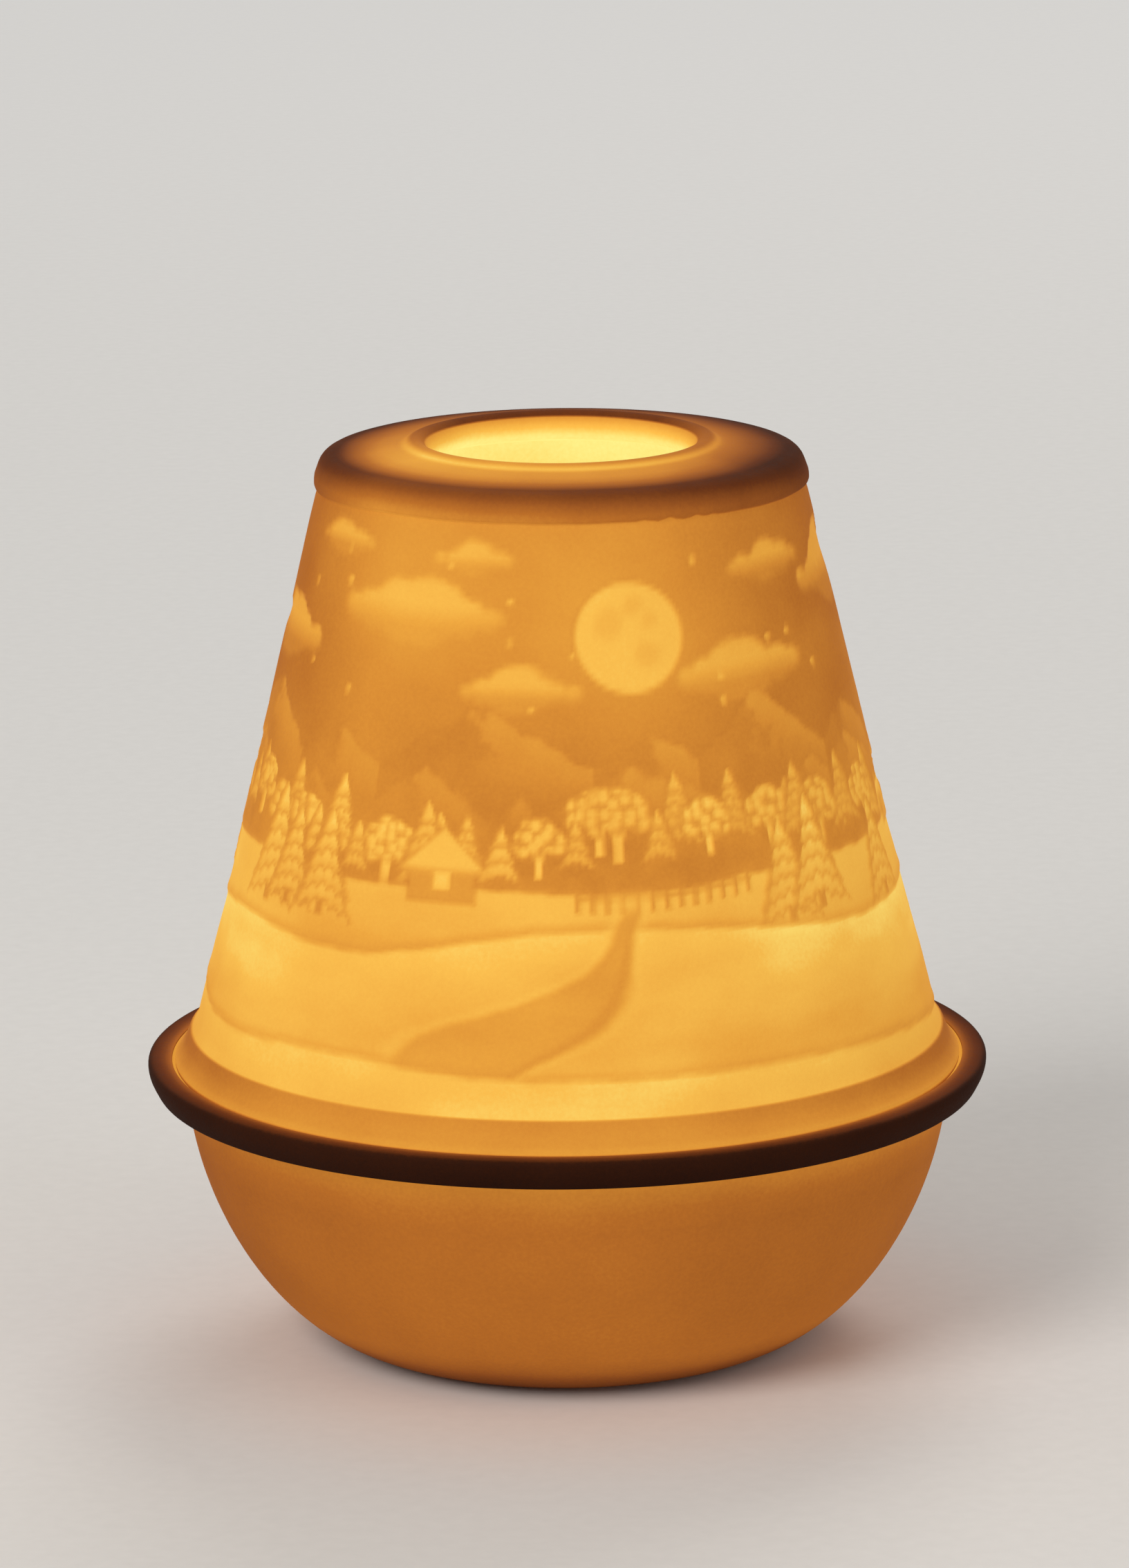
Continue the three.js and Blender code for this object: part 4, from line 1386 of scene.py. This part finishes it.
def board_lacquer(name):
    material, tree, shader = new_material(name)
    place = place_in(tree)
    slanted = add_node(tree, "Mapping", {"Vector": place, "Rotation": (0, 0, radians(45))})
    tracks = add_node(tree, "TexBrick", {"Vector": slanted.outputs["Vector"], "Scale": track_scale})
    set_inputs(tree, tracks, {"Mortar Size": track_share})
    set_inputs(tree, tracks, {key: (*linear(code), 1) for key, code in board_tones.items()})
    gloss = moved(tree, noise(tree, place, 900, 2), 0.3, 0.42)
    raised = bump(tree, tracks.outputs["Fac"], track_depth)
    set_inputs(tree, shader, {"Base Color": tracks.outputs["Color"], "Roughness": gloss, "Normal": raised})
    return material


board_green = board_lacquer("board_green_lacquer")
print("tracks are", round(100 * track_share, 1), "% of a brick wide")

# %% [markdown]
# ## Shapes of the light unit
#
# Most parts of the unit are turned, and a few are small blocks. Holes and wells are cut with boolean
# modifiers that are applied at once, because a hole that is only painted would not survive a look from
# the side. All sizes of the unit are in millimetres, and heights count from the underside of its feet.


# %% Turned parts and cutters
unit_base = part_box("unit_foot_1")[0].z
unit_sides = 144
small_sides = 48
cutter_sides = 40
cutter_turn = radians(2.2)
weld_distance = 0.002 * MM
sliver = 0.001 * MM


def unit_z(height_mm):
    """The height in the model of a height in the unit."""
    return unit_base + height_mm * MM


def on_circle(radius_mm, degrees):
    return Vector((cos(radians(degrees)), sin(radians(degrees)), 0)) * radius_mm * MM


def turned(name, corners_mm, count=small_sides, longest_mm=3, place=(0, 0, 0), glow=unlit):
    """A turned part of the unit from corners (radius, height, rounding), moved to its place."""
    corners = [(radius * MM, unit_z(height), rounding * MM) for radius, height, rounding in corners_mm]
    piece = turn(name, corners, longest_mm * MM, count, glow, 5, closed=corners[0][0] > 0)
    piece.data.transform(Matrix.Translation(place))
    return piece


def plain_bar(radius, low, high):
    """The corners of a bar with sharp edges."""
    return [(0, low, 0), (radius, low, 0), (radius, high, 0), (0, high, 0)]


def cutter(corners_mm, place=(0, 0, 0)):
    """A turned cutter; its columns are turned a little so that they miss those of the piece."""
    tool = turned("cutter", corners_mm, cutter_sides)
    tool.data.transform(Matrix.Translation(place) @ Matrix.Rotation(cutter_turn, 4, "Z"))
    return tool


def carve(piece, *tools, operation="DIFFERENCE"):
    """Cuts the tools out of a piece, or joins them to it, and puts the tools away."""
    for tool in tools:
        step = piece.modifiers.new("carve", "BOOLEAN")
        step.operation = operation
        step.solver = "EXACT"
        step.object = tool
    evaluated = piece.evaluated_get(bpy.context.evaluated_depsgraph_get())
    carved = bpy.data.meshes.new_from_object(evaluated)
    piece.modifiers.clear()
    piece.data = carved
    for tool in tools:
        bpy.data.objects.remove(tool)
    shape = bmesh.new()
    shape.from_mesh(carved)
    bmesh.ops.remove_doubles(shape, verts=shape.verts, dist=weld_distance)
    bmesh.ops.dissolve_degenerate(shape, edges=shape.edges, dist=sliver)
    shape.to_mesh(carved)
    shape.free()
    return piece


print("the unit stands at", round(unit_base / MM, 2), "mm")

# %% [markdown]
# ### Blocks and joined parts
#
# A block is a cube, stretched between two corners, whose edges are bevelled in the mesh. A bevel modifier
# does the same on the object, but parts that are joined to a piece bring only their meshes. Joining keeps
# the finish of each part, so that a socket of steel with a black tongue is one piece.


# %% Blocks and joined parts
def block(name, low_mm, high_mm, edge_mm, segments=3):
    """A bevelled block between two corners in millimetres."""
    low = Vector((low_mm[0] * MM, low_mm[1] * MM, unit_z(low_mm[2])))
    high = Vector((high_mm[0] * MM, high_mm[1] * MM, unit_z(high_mm[2])))
    shape = bmesh.new()
    bmesh.ops.create_cube(shape, size=1)
    for corner in shape.verts:
        corner.co = Vector([(low[i] + high[i]) / 2 + corner.co[i] * (high[i] - low[i]) for i in range(3)])
    rounding = {"offset": edge_mm * MM, "segments": segments, "affect": "EDGES", "profile": 0.6}
    bmesh.ops.bevel(shape, geom=shape.edges, **rounding)
    mesh = bpy.data.meshes.new(name)
    shape.to_mesh(mesh)
    shape.free()
    mesh.polygons.foreach_set("use_smooth", np.ones(len(mesh.polygons), bool))
    return link_object(name, mesh)


def join(piece, *others):
    """Adds the meshes of other objects, with their finishes, to a piece."""
    shape = bmesh.new()
    shape.from_mesh(piece.data)
    for other in others:
        first_finish = len(piece.data.materials)
        first_face = len(shape.faces)
        shape.from_mesh(other.data)
        shape.faces.ensure_lookup_table()
        for face in shape.faces[first_face:]:
            face.material_index += first_finish
        for material in other.data.materials:
            piece.data.materials.append(material)
        bpy.data.objects.remove(other)
    shape.to_mesh(piece.data)
    shape.free()
    return piece


def move(piece, place, degrees=0):
    """Turns the mesh about the axis and then moves it, so that the object stays at the origin."""
    piece.data.transform(Matrix.Translation(place) @ Matrix.Rotation(radians(degrees), 4, "Z"))
    return piece


print("spots on a circle start at", [round(value / MM, 1) for value in on_circle(20, 0)])

# %% [markdown]
# ## Shell
#
# The shell is a moulded cap with a seat for the dome, bosses for the screws, and a shadow line near its
# lower edge where the mould parts. It could be cut from a solid block, but a moulding has the same wall
# everywhere, and a turned outline with an inside gives just that. The bosses are joined to it and the
# holes are cut.

# %% Shell
unit_top = 20.0
screw_spots = [on_circle(21.9, degrees) for degrees in (90, 210, 330)]
button_spot = on_circle(20.3, 270)
pipe_spot = on_circle(20.3, 250)
shell_corners = [
    (24.2, 3.4, 0),
    (26, 3.4, 0.3),
    (26, 5.0, 0.15),
    (25.7, 5.2, 0.12),
    (25.7, 5.6, 0.12),
    (26, 5.8, 0.15),
    (26, unit_top, 2.4),
    (19.0, unit_top, 0.15),
    (18.85, unit_top - 0.15, 0.1),
    (18.6, unit_top - 0.15, 0.1),
    (18.45, unit_top, 0.15),
    (16.9, unit_top, 0.25),
    (16.9, 19.2, 0.1),
    (13, 19.2, 0.2),
    (13, 18.2, 0.2),
    (24.2, 18.2, 0.8),
]
boss_corners = [(0, 5.2, 0), (2.6, 5.2, 0.2), (2.6, 19, 0), (0, 19, 0)]
pilot_corners = [(0, 4, 0), (1.3, 4, 0), (1.3, 13.7, 0), (0, 14.2, 0)]
button_hole_corners = [(0, 17, 0), (2.7, 17, 0), (2.7, 19.8, 0), (3.0, 20.4, 0), (0, 20.4, 0)]


def make_shell():
    shell = turned("light_unit_shell", shell_corners, unit_sides)
    carve(shell, *[turned("boss", boss_corners, place=spot) for spot in screw_spots], operation="UNION")
    holes = [cutter(pilot_corners, spot) for spot in screw_spots]
    holes += [cutter(button_hole_corners, button_spot), cutter(plain_bar(1.5, 17, 21), pipe_spot)]
    socket_window = block("window", (23, -4.8, 9.2), (27.5, 4.8, 13.0), 0.9, 4)
    return carve(shell, *holes, socket_window)


dress(coat(make_shell(), shell_plastic), "shell_plastic", "light_unit", "unit_shell")

# %% [markdown]
# ## Cover
#
# The cover closes the shell from below, with a lip that centres it and a shallow groove on its underside.
# It is turned like the shell, because the two meet in one round line. Three wells sink the heads of the
# screws, so that the unit stands on its feet and never on steel.

# %% Cover
cover_corners = [
    (0, 1.3, 0),
    (9.0, 1.3, 0.2),
    (9.3, 1.55, 0.15),
    (10.0, 1.55, 0.15),
    (10.3, 1.3, 0.2),
    (26, 1.3, 1.0),
    (26, 3.1, 0.15),
    (23.9, 3.1, 0.1),
    (23.9, 4.9, 0.35),
    (22.2, 4.9, 0.35),
    (22.2, 3.1, 0.3),
    (0, 3.1, 0),
]
well_corners = [(0, 0, 0), (2.9, 0, 0), (2.7, 1.5, 0), (2.7, 2.4, 0)]
well_corners += [(1.35, 2.4, 0), (1.35, 6, 0), (0, 6, 0)]

cover = turned("light_unit_cover", cover_corners, unit_sides)
carve(cover, *[cutter(well_corners, spot) for spot in screw_spots])
dress(coat(cover, shell_plastic), "shell_plastic", "light_unit", "unit_cover")

# %% [markdown]
# ## Dome
#
# The dome spreads the light of six diodes into one soft glow. It is a thin moulding, so its outline runs
# up the outer face and back down the inner one, a wall's thickness away. Half an ellipse on a short
# upright foot gives it its form, and its glow grows from the foot to the crown.

# %% Dome
dome_radius = 16.6
dome_wall = 1.4
dome_foot = 19.5
dome_spring = 21.6
dome_top = 39.2
dome_heights = [19.5, 20.5, 24, 30, 38]
dome_tones = [0.1, 0.45, 0.75, 0.9, 1.0]


def dome_curve(inset, steps=26):
    """Corners from the foot of the dome to its crown, at a distance inside its outer face."""
    radius = dome_radius - inset
    rise = dome_top - inset - dome_spring
    sweep = [pi / 2 * i / steps for i in range(steps)]
    curve = [(radius * cos(t), dome_spring + rise * sin(t), 0) for t in sweep]
    return [(radius, dome_foot, 0.2), *curve, (0, dome_spring + rise, 0)]


def dome_glow(radius, height):
    return np.interp((height - unit_base) / MM, dome_heights, dome_tones)


dome_corners = [*reversed(dome_curve(dome_wall)), *dome_curve(0)]
dome = turned("frosted_dome", dome_corners, unit_sides, 1.5, glow=dome_glow)
dress(coat(dome, frosted_diffuser), "frosted_diffuser", "light_unit", "diffuser_dome")

# %% [markdown]
# ## Button and light pipe
#
# These are what a hand or an eye finds on the unit. The button is slightly dished so that a finger finds
# its middle, and rides on its own body because it travels. A collar under the shell keeps it in, and a
# stem reaches down to the switch. The clear pipe beside it carries the light of the status diode up to
# the face.

# %% Button and light pipe
button_corners = [
    (0, 15.9, 0),
    (0.9, 15.9, 0.15),
    (0.9, 17.3, 0.1),
    (3.0, 17.3, 0.15),
    (3.0, 17.9, 0.15),
    (2.4, 17.9, 0.1),
    (2.4, 21.3, 0.45),
    (1.5, 21.2, 0.5),
    (0, 21.08, 0),
]
pipe_corners = [(0, 15.6, 0), (1.2, 15.6, 0.1), (1.2, 20.2, 0.35), (0, 20.2, 0)]

button = turned("push_button", button_corners, longest_mm=0.8, place=button_spot)
dress(coat(button, button_plastic), "button_plastic", "power_button", "power_button")
pipe = turned("clear_light_pipe", pipe_corners, place=pipe_spot)
dress(coat(pipe, clear_plastic), "clear_plastic", "light_unit", "light_pipe")

# %% [markdown]
# ## Charging socket
#
# The socket is a drawn steel sleeve with a rolled mouth, round a thin black tongue with brass contacts on
# both faces. The sleeve could be a block with a hole, but its mouth is rolled and its wall is thin. A row
# of rounded rectangles, out along it and back inside, gives the outside, the mouth and the inside at
# once.


# %% Charging socket
def tube(name, rings):
    """A skin over rings with the same number of points each, closed flat at both ends."""
    count = len(rings[0])
    last = (len(rings) - 1) * count
    faces = [tuple(reversed(range(count))), tuple(range(last, last + count))]
    for i in range(len(rings) - 1):
        faces.extend(band(i * count, count, (i + 1) * count, count))
    return link_object(name, smooth_mesh(name, [point for ring in rings for point in ring], faces))


socket_back = 18.4
socket_mouth = 25.4
socket_half_width = 4.5
socket_half_height = 1.6
socket_corner = 1.5
socket_middle = 11.1
socket_stations = [  # along the unit's radius, and how far inside the outer face
    (socket_back, 0.2),
    (socket_back + 0.15, 0.03),
    (socket_back + 0.4, 0),
    (socket_mouth - 0.25, 0),
    (socket_mouth - 0.06, 0.05),
    (socket_mouth, 0.17),
    (socket_mouth - 0.06, 0.3),
    (socket_mouth - 0.3, 0.36),
    (socket_back + 0.7, 0.36),
]
tongue_half_height = 0.35
tongue_half_width = 3.2
contacts_on_a_face = 6


def sleeve_ring(x, inset, steps=8):
    """A rounded rectangle across the X axis."""
    corner = socket_corner - inset
    half_y = socket_half_width - inset - corner
    half_z = socket_half_height - inset - corner
    ring = []
    for quarter, (side_y, side_z) in enumerate(((1, 1), (-1, 1), (-1, -1), (1, -1))):
        for k in range(steps + 1):
            t = pi / 2 * (quarter + k / steps)
            y = side_y * half_y + corner * cos(t)
            z = side_z * half_z + corner * sin(t)
            ring.append((x * MM, y * MM, unit_z(socket_middle + z)))
    return ring


def tongue_contacts():
    """Flat contacts on each face of the tongue."""
    contacts = []
    for level in (socket_middle + tongue_half_height, socket_middle - tongue_half_height):
        for k in range(contacts_on_a_face):
            y = k - (contacts_on_a_face - 1) / 2
            low = (socket_back + 1.5, y - 0.22, level - 0.04)
            high = (socket_back + 4.6, y + 0.22, level + 0.04)
            contacts.append(coat(block("contact", low, high, 0.03, 1), brass))
    return contacts


def make_socket():
    socket = tube("charging_socket", [sleeve_ring(x, inset) for x, inset in socket_stations])
    low = (socket_back + 0.5, -tongue_half_width, socket_middle - tongue_half_height)
    high = (socket_back + 4.95, tongue_half_width, socket_middle + tongue_half_height)
    tongue = block("tongue", low, high, 0.12)
    return join(coat(socket, steel), coat(tongue, black_plastic), *tongue_contacts())


dress(make_socket(), "steel", "light_unit", "charge_socket")
print("socket", 2 * socket_half_width, "by", 2 * socket_half_height, "mm")

# %% [markdown]
# ## Feet and screws
#
# Three rubber feet keep the unit from sliding on smooth clay, and three screws hold its cover. A screw
# for plastic has a coarse thread. A true thread winds, but here it is turned as rings, one for each
# pitch, which looks the same at this size and keeps the mesh closed. The slot in the pan head is a block
# cut out of it.

# %% Feet and screws
foot_circle = 20
foot_corners = [(0, 0.15, 0), (1.6, 0.15, 0.1), (1.75, 0, 0.1)]
foot_corners += [(3.5, 0, 0.35), (3.5, 1.0, 0.15), (0, 1.0, 0)]
thread_start = 2.6
thread_pitch = 0.9
thread_turns = 8
screw_turn_deg = 35
head_corners = [(0, 1.3, 0), (2.4, 1.3, 0.45), (2.4, 2.1, 0.1), (0.95, 2.1, 0.1)]
tip_corners = [(0.75, 10.1, 0.1), (0, 10.6, 0)]


def make_foot(number, degrees):
    foot = turned(f"rubber_foot_{number}", foot_corners, place=on_circle(foot_circle, degrees))
    dress(coat(foot, foot_rubber), "rubber_foot", "light_unit", f"unit_foot_{number}")


def make_screw(number, spot):
    """A pan head with a slot, and a shaft with a coarse thread for plastic."""
    thread = []
    for k in range(thread_turns):
        low = thread_start + k * thread_pitch
        thread += [(0.8, low, 0.05), (1.05, low + thread_pitch / 2, 0.05)]
    screw = turned(f"case_screw_pan_{number}", head_corners + thread + tip_corners, longest_mm=1)
    carve(screw, block("slot", (-3, -0.35, 0.5), (3, 0.35, 1.7), 0.04, 1))
    move(screw, spot, screw_turn_deg * number)
    dress(coat(screw, steel), "steel", "light_unit", f"case_screw_{number}")


for number, degrees in enumerate((30, 150, 270), 1):
    make_foot(number, degrees)
for number, spot in enumerate(screw_spots, 1):
    make_screw(number, spot)

# %% [markdown]
# ## Reflector and board
#
# The shell hides the works, but the part comes apart on a bench, so they are made as well. A white
# reflector stands round the diodes on a round board, which is notched for the bosses of the screws.
# Tinned rings round the posts and a few resistors make the board read as one, at the cost of some small
# blocks.

# %% Reflector and board
reflector_corners = [
    (12.0, 14.5, 0),
    (12.7, 14.5, 0.15),
    (12.7, 19.2, 0.35),
    (11.5, 19.2, 0.35),
    (11.42, 18.2, 0),
    (11.15, 17.0, 0),
    (10.75, 15.8, 0),
    (10.2, 14.5, 0.1),
]
board_radius = 22.6
board_low = 13.0
board_high = 14.2
notch_radius = 2.9
post_circle = 16
post_degrees = (45, 135, 225, 315)
pad_radii = (0.9, 1.7)
resistor_spots = [(30, 18), (20, 18), (10, 18), (-20, 19), (160, 16), (60, 15.2), (105, 15.2), (295, 15.2)]

reflector = turned("light_reflector", reflector_corners, 96, 0.8)
dress(coat(reflector, reflector_white), "reflector_white", "light_unit", "reflector")


def ring_pad(place):
    """A tinned ring on the board."""
    hole, rim = pad_radii
    low = board_high - 0.02
    high = board_high + 0.05
    corners = [(hole, low, 0), (rim, low, 0), (rim, high, 0.03), (hole, high, 0.03)]
    return coat(turned("pad", corners, 32, place=place), brass)


def resistor(degrees, radius):
    """A chip resistor with tinned ends, set square to the middle of the board."""
    body = block("resistor", (-0.5, -0.4, board_high), (0.5, 0.4, board_high + 0.45), 0.05, 1)
    ends = []
    for x in (-0.8, 0.48):
        end = block("end", (x, -0.41, board_high), (x + 0.32, 0.41, board_high + 0.47), 0.05, 1)
        ends.append(coat(end, steel))
    return move(join(coat(body, black_plastic), *ends), on_circle(radius, degrees), degrees)


def make_board():
    corners = [(0, board_low, 0), (board_radius, board_low, 0.12), (board_radius, board_high, 0.12)]
    board = turned("lacquered_board", corners + [(0, board_high, 0)], unit_sides)
    carve(board, *[cutter(plain_bar(notch_radius, 12, 15), spot) for spot in screw_spots])
    pads = [ring_pad(on_circle(post_circle, degrees)) for degrees in post_degrees]
    resistors = [resistor(degrees, radius) for degrees, radius in resistor_spots]
    return join(coat(board, board_green), *pads, *resistors)


dress(make_board(), "board", "light_unit", "circuit_board")
print("on the board:", len(post_degrees), "pads and", len(resistor_spots), "resistors")

# %% [markdown]
# ## Diodes
#
# Six white diodes stand in a ring under the dome, and a small one under the light pipe. Each is a white
# package with a drop of yellow phosphor on top. The drop takes the lit finish, so that it shines through
# the dome as it would when the lamp is on, and one helper makes both sizes.

# %% Diodes
chip_low = 14.5  # parts of their own keep clear of the board's solid
diode_circle = 7
diode_count = 6
lens_share = 0.4
phosphor_glow = 0.9


def steady_glow(radius, height):
    return phosphor_glow


def make_diode(name, place, side, height, node):
    """A white package with a drop of phosphor on top."""
    top = chip_low + height
    package = block(name, (-side / 2, -side / 2, chip_low), (side / 2, side / 2, top - 0.1), 0.12, 2)
    lens_radius = side * lens_share
    corners = [(0, top - 0.2, 0), (lens_radius, top - 0.2, 0), (lens_radius, top - 0.06, 0.05), (0, top, 0)]
    lens = turned("lens", corners, 32, 0.3, glow=steady_glow)
    diode = join(coat(package, led_package), coat(lens, phosphor))
    dress(move(diode, place), "led", "light_unit", node)


for number in range(diode_count):
    spot = on_circle(diode_circle, 360 / diode_count * number)
    make_diode(f"diode_{number + 1}", spot, side=2.8, height=1.2, node=f"led_{number + 1}")
make_diode("status_diode", pipe_spot, side=1.6, height=0.8, node="status_led")
print("diodes:", diode_count, "under the dome and one under the light pipe")

# %% [markdown]
# ## Switch, chip and coil
#
# The button presses a small switch, a chip charges the cell, and its coil smooths the current. Each is a
# block with what tells it apart: a steel plate with a well for the stem, four legs on either side and a
# mark at the first of them, and a ferrite cap. They are made at the middle of the unit and moved to their
# place, which keeps their numbers simple.


# %% Switch, chip and coil
def legs(places, size, high):
    """Tinned legs of a size, from the board up."""
    made = []
    for x, y in places:
        low_corner = (x - size[0] / 2, y - size[1] / 2, chip_low)
        leg = block("leg", low_corner, (x + size[0] / 2, y + size[1] / 2, high), 0.06, 1)
        made.append(coat(leg, steel))
    return made


def make_switch():
    body = block("tact_switch", (-2.5, -2.5, 14.6), (2.5, 2.5, 16.05), 0.25)
    plate = block("plate", (-2.3, -2.3, 15.95), (2.3, 2.3, 16.2), 0.08, 1)
    for part in (body, plate):
        carve(part, cutter(plain_bar(1.2, 14.9, 17)))
    feet = legs([(x, y) for x in (-2.1, 2.1) for y in (-2.05, 2.05)], (0.7, 0.9), 14.75)
    return move(join(coat(body, black_plastic), coat(plate, steel), *feet), button_spot)


def make_chip():
    body = block("charging_chip", (-1.9, -2.0, 14.65), (1.9, 2.0, 15.6), 0.12, 2)
    carve(body, cutter(plain_bar(0.28, 15.5, 16), (-1.3 * MM, 1.4 * MM, 0)))
    pins = legs([(side * 2.2, -1.5 + k) for side in (-1, 1) for k in range(4)], (0.6, 0.4), 14.95)
    return move(join(coat(body, black_plastic), *pins), on_circle(17.5, 135))


def make_coil():
    base = block("power_coil", (-2.5, -2.5, 14.5), (2.5, 2.5, 16.1), 0.45, 3)
    rim = [(0, 16.0, 0), (2.2, 16.0, 0), (2.2, 16.9, 0.2), (1.3, 16.9, 0.15)]
    cap = turned("cap", rim + [(1.2, 16.7, 0), (0, 16.7, 0)])
    return move(join(coat(base, ferrite), coat(cap, ferrite)), on_circle(17.5, 180))


dress(make_switch(), "black_plastic", "light_unit", "switch_body")
dress(make_chip(), "black_plastic", "light_unit", "charge_chip")
dress(make_coil(), "ferrite", "light_unit", "inductor")
print("switch, chip and coil stand", chip_low, "mm up in the unit")

# %% [markdown]
# ## Cell, pad and posts
#
# A pouch cell is a soft flat bag of foil: its faces are slightly crowned, and at one end the foil is
# crimped where the two leads come out. Cloth simulation could blow it up, but its contents are stiff, so
# a block is cut finely and its faces are lowered a little towards the edges. It lies on a foam pad, and
# four brass posts carry the board over it.

# %% Cell, pad and posts
cell_low = (-13.1, -9, 4.3)
cell_high = (14, 9, 10.3)
cell_edge_share = 0.93  # of its thickness, at the rim of its faces
pad_low = (-13, -8, 3.4)
pad_high = (13, 8, 4.0)
post_low = [(0, 3.4, 0), (1.8, 3.4, 0.25), (1.8, 5.2, 0.1), (1.5, 5.4, 0.1)]
post_corners = post_low + [(1.5, 10.8, 0.1), (1.8, 11.0, 0.1), (1.8, 12.7, 0.25), (0, 12.7, 0)]


def crown_faces(mesh):
    """Lowers the faces of the cell towards their rims."""
    shape = bmesh.new()
    shape.from_mesh(mesh)
    bmesh.ops.subdivide_edges(shape, edges=shape.edges, cuts=5, use_grid_fill=True)
    middle = [(low + high) / 2 for low, high in zip(cell_low, cell_high)]
    half = [(high - low) / 2 for low, high in zip(cell_low, cell_high)]
    for point in shape.verts:
        x = (point.co.x / MM - middle[0]) / half[0]
        y = (point.co.y / MM - middle[1]) / half[1]
        fullness = max(0, 1 - x**4) * max(0, 1 - y**4)
        thickness_share = cell_edge_share + (1 - cell_edge_share) * fullness
        point.co.z = unit_z(middle[2]) + (point.co.z - unit_z(middle[2])) * thickness_share
    shape.to_mesh(mesh)
    shape.free()


def make_cell():
    cell = block("pouch_cell", cell_low, cell_high, 1.3, 4)
    crown_faces(cell.data)
    crimp = coat(block("crimp", (-14, -8.2, 7.1), (-12.6, 8.2, 7.5), 0.12, 2), battery_foil)
    tabs = [block("tab", (-14, y - 1, 7.25), (-13, y + 1, 7.62), 0.05, 1) for y in (-2, 2)]
    return join(coat(cell, battery_foil), crimp, *[coat(tab, steel) for tab in tabs])


dress(make_cell(), "battery_foil", "light_unit", "battery")
pad = block("foam_pad", pad_low, pad_high, 0.18, 2)
dress(coat(pad, foam), "foam", "light_unit", "battery_pad")
for number, degrees in enumerate(post_degrees, 1):
    post = turned(f"brass_post_{number}", post_corners, place=on_circle(post_circle, degrees))
    dress(coat(post, brass), "brass", "light_unit", f"board_post_{number}")

# %% [markdown]
# ## Leads
#
# Two short wires join the cell to the board. They leave the tabs level, turn up and end under the board,
# as short wires do, because a wire can't bend sharply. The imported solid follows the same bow: a curve
# from the tab to the board that is pulled towards the corner between them. A curve object with a bevel
# would do, but a tube over rings is a closed mesh at once.

# %% Leads
lead_spread = 2.0
lead_radius = 0.58
lead_end_radius = 0.35
lead_start_x = -14.3
lead_bow_x = -17.5
lead_low = 7.3
lead_high = 12.7
lead_steps = 28
lead_sides = 20


def bow_points(y):
    """Points along the bow of a lead, in metres."""
    start = Vector((lead_start_x * MM, y * MM, unit_z(lead_low)))
    corner = Vector((lead_bow_x * MM, y * MM, unit_z(lead_low)))
    end = Vector((lead_bow_x * MM, y * MM, unit_z(lead_high)))
    points = []
    for k in range(lead_steps + 1):
        t = k / lead_steps
        points.append(start * (1 - t) ** 3 + corner * 3 * t * (1 - t) + end * t**3)
    return points


def make_lead(name, y, sleeve_finish):
    """A round wire along the bow, drawn in at both ends where it is tinned."""
    points = bow_points(y)
    rings = []
    for k, point in enumerate(points):
        ahead = (points[min(k + 1, lead_steps)] - points[max(k - 1, 0)]).normalized()
        out = Vector((-ahead.z, 0, ahead.x))
        radius = (lead_end_radius if k in (0, lead_steps) else lead_radius) * MM
        turns = [-2 * pi * i / lead_sides for i in range(lead_sides)]
        rings.append([point + out * radius * cos(t) + Vector((0, radius * sin(t), 0)) for t in turns])
    return coat(tube(name, rings), sleeve_finish)


dress(make_lead("red_wire", lead_spread, red_lead), "red_lead", "light_unit", "lead_red")
dress(make_lead("black_wire", -lead_spread, black_lead), "black_lead", "light_unit", "lead_black")

# %% [markdown]
# ## Seat ring
#
# A thin silicone ring lies on the ledge so that porcelain never grinds on porcelain, and the shade turns
# on it. Its box in the frame gives three of its sizes, and a turned rectangle with soft corners is all it
# needs.

# %% Seat ring
ring_width = 4.05 * MM
ring_rounding = 0.2 * MM
ring_inner = ring_high.x - ring_width
seat_ring_corners = [
    (ring_high.x - 2 * MM, ring_low.z, 0),
    (ring_high.x, ring_low.z, ring_rounding),
    (ring_high.x, ring_high.z, ring_rounding),
    (ring_inner, ring_high.z, ring_rounding),
    (ring_inner, ring_low.z, ring_rounding),
]

seat_ring = turn("silicone_seat_ring", seat_ring_corners, 2 * MM, 192)
dress(coat(seat_ring, silicone), "silicone", "seat_ring", "seat_ring")

# %% Sizes
visual_low, visual_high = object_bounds()
dressed_size = [round((high - low) / MM, 1) for low, high in zip(visual_low, visual_high)]
print("size of the dressed lamp in mm:", dressed_size)
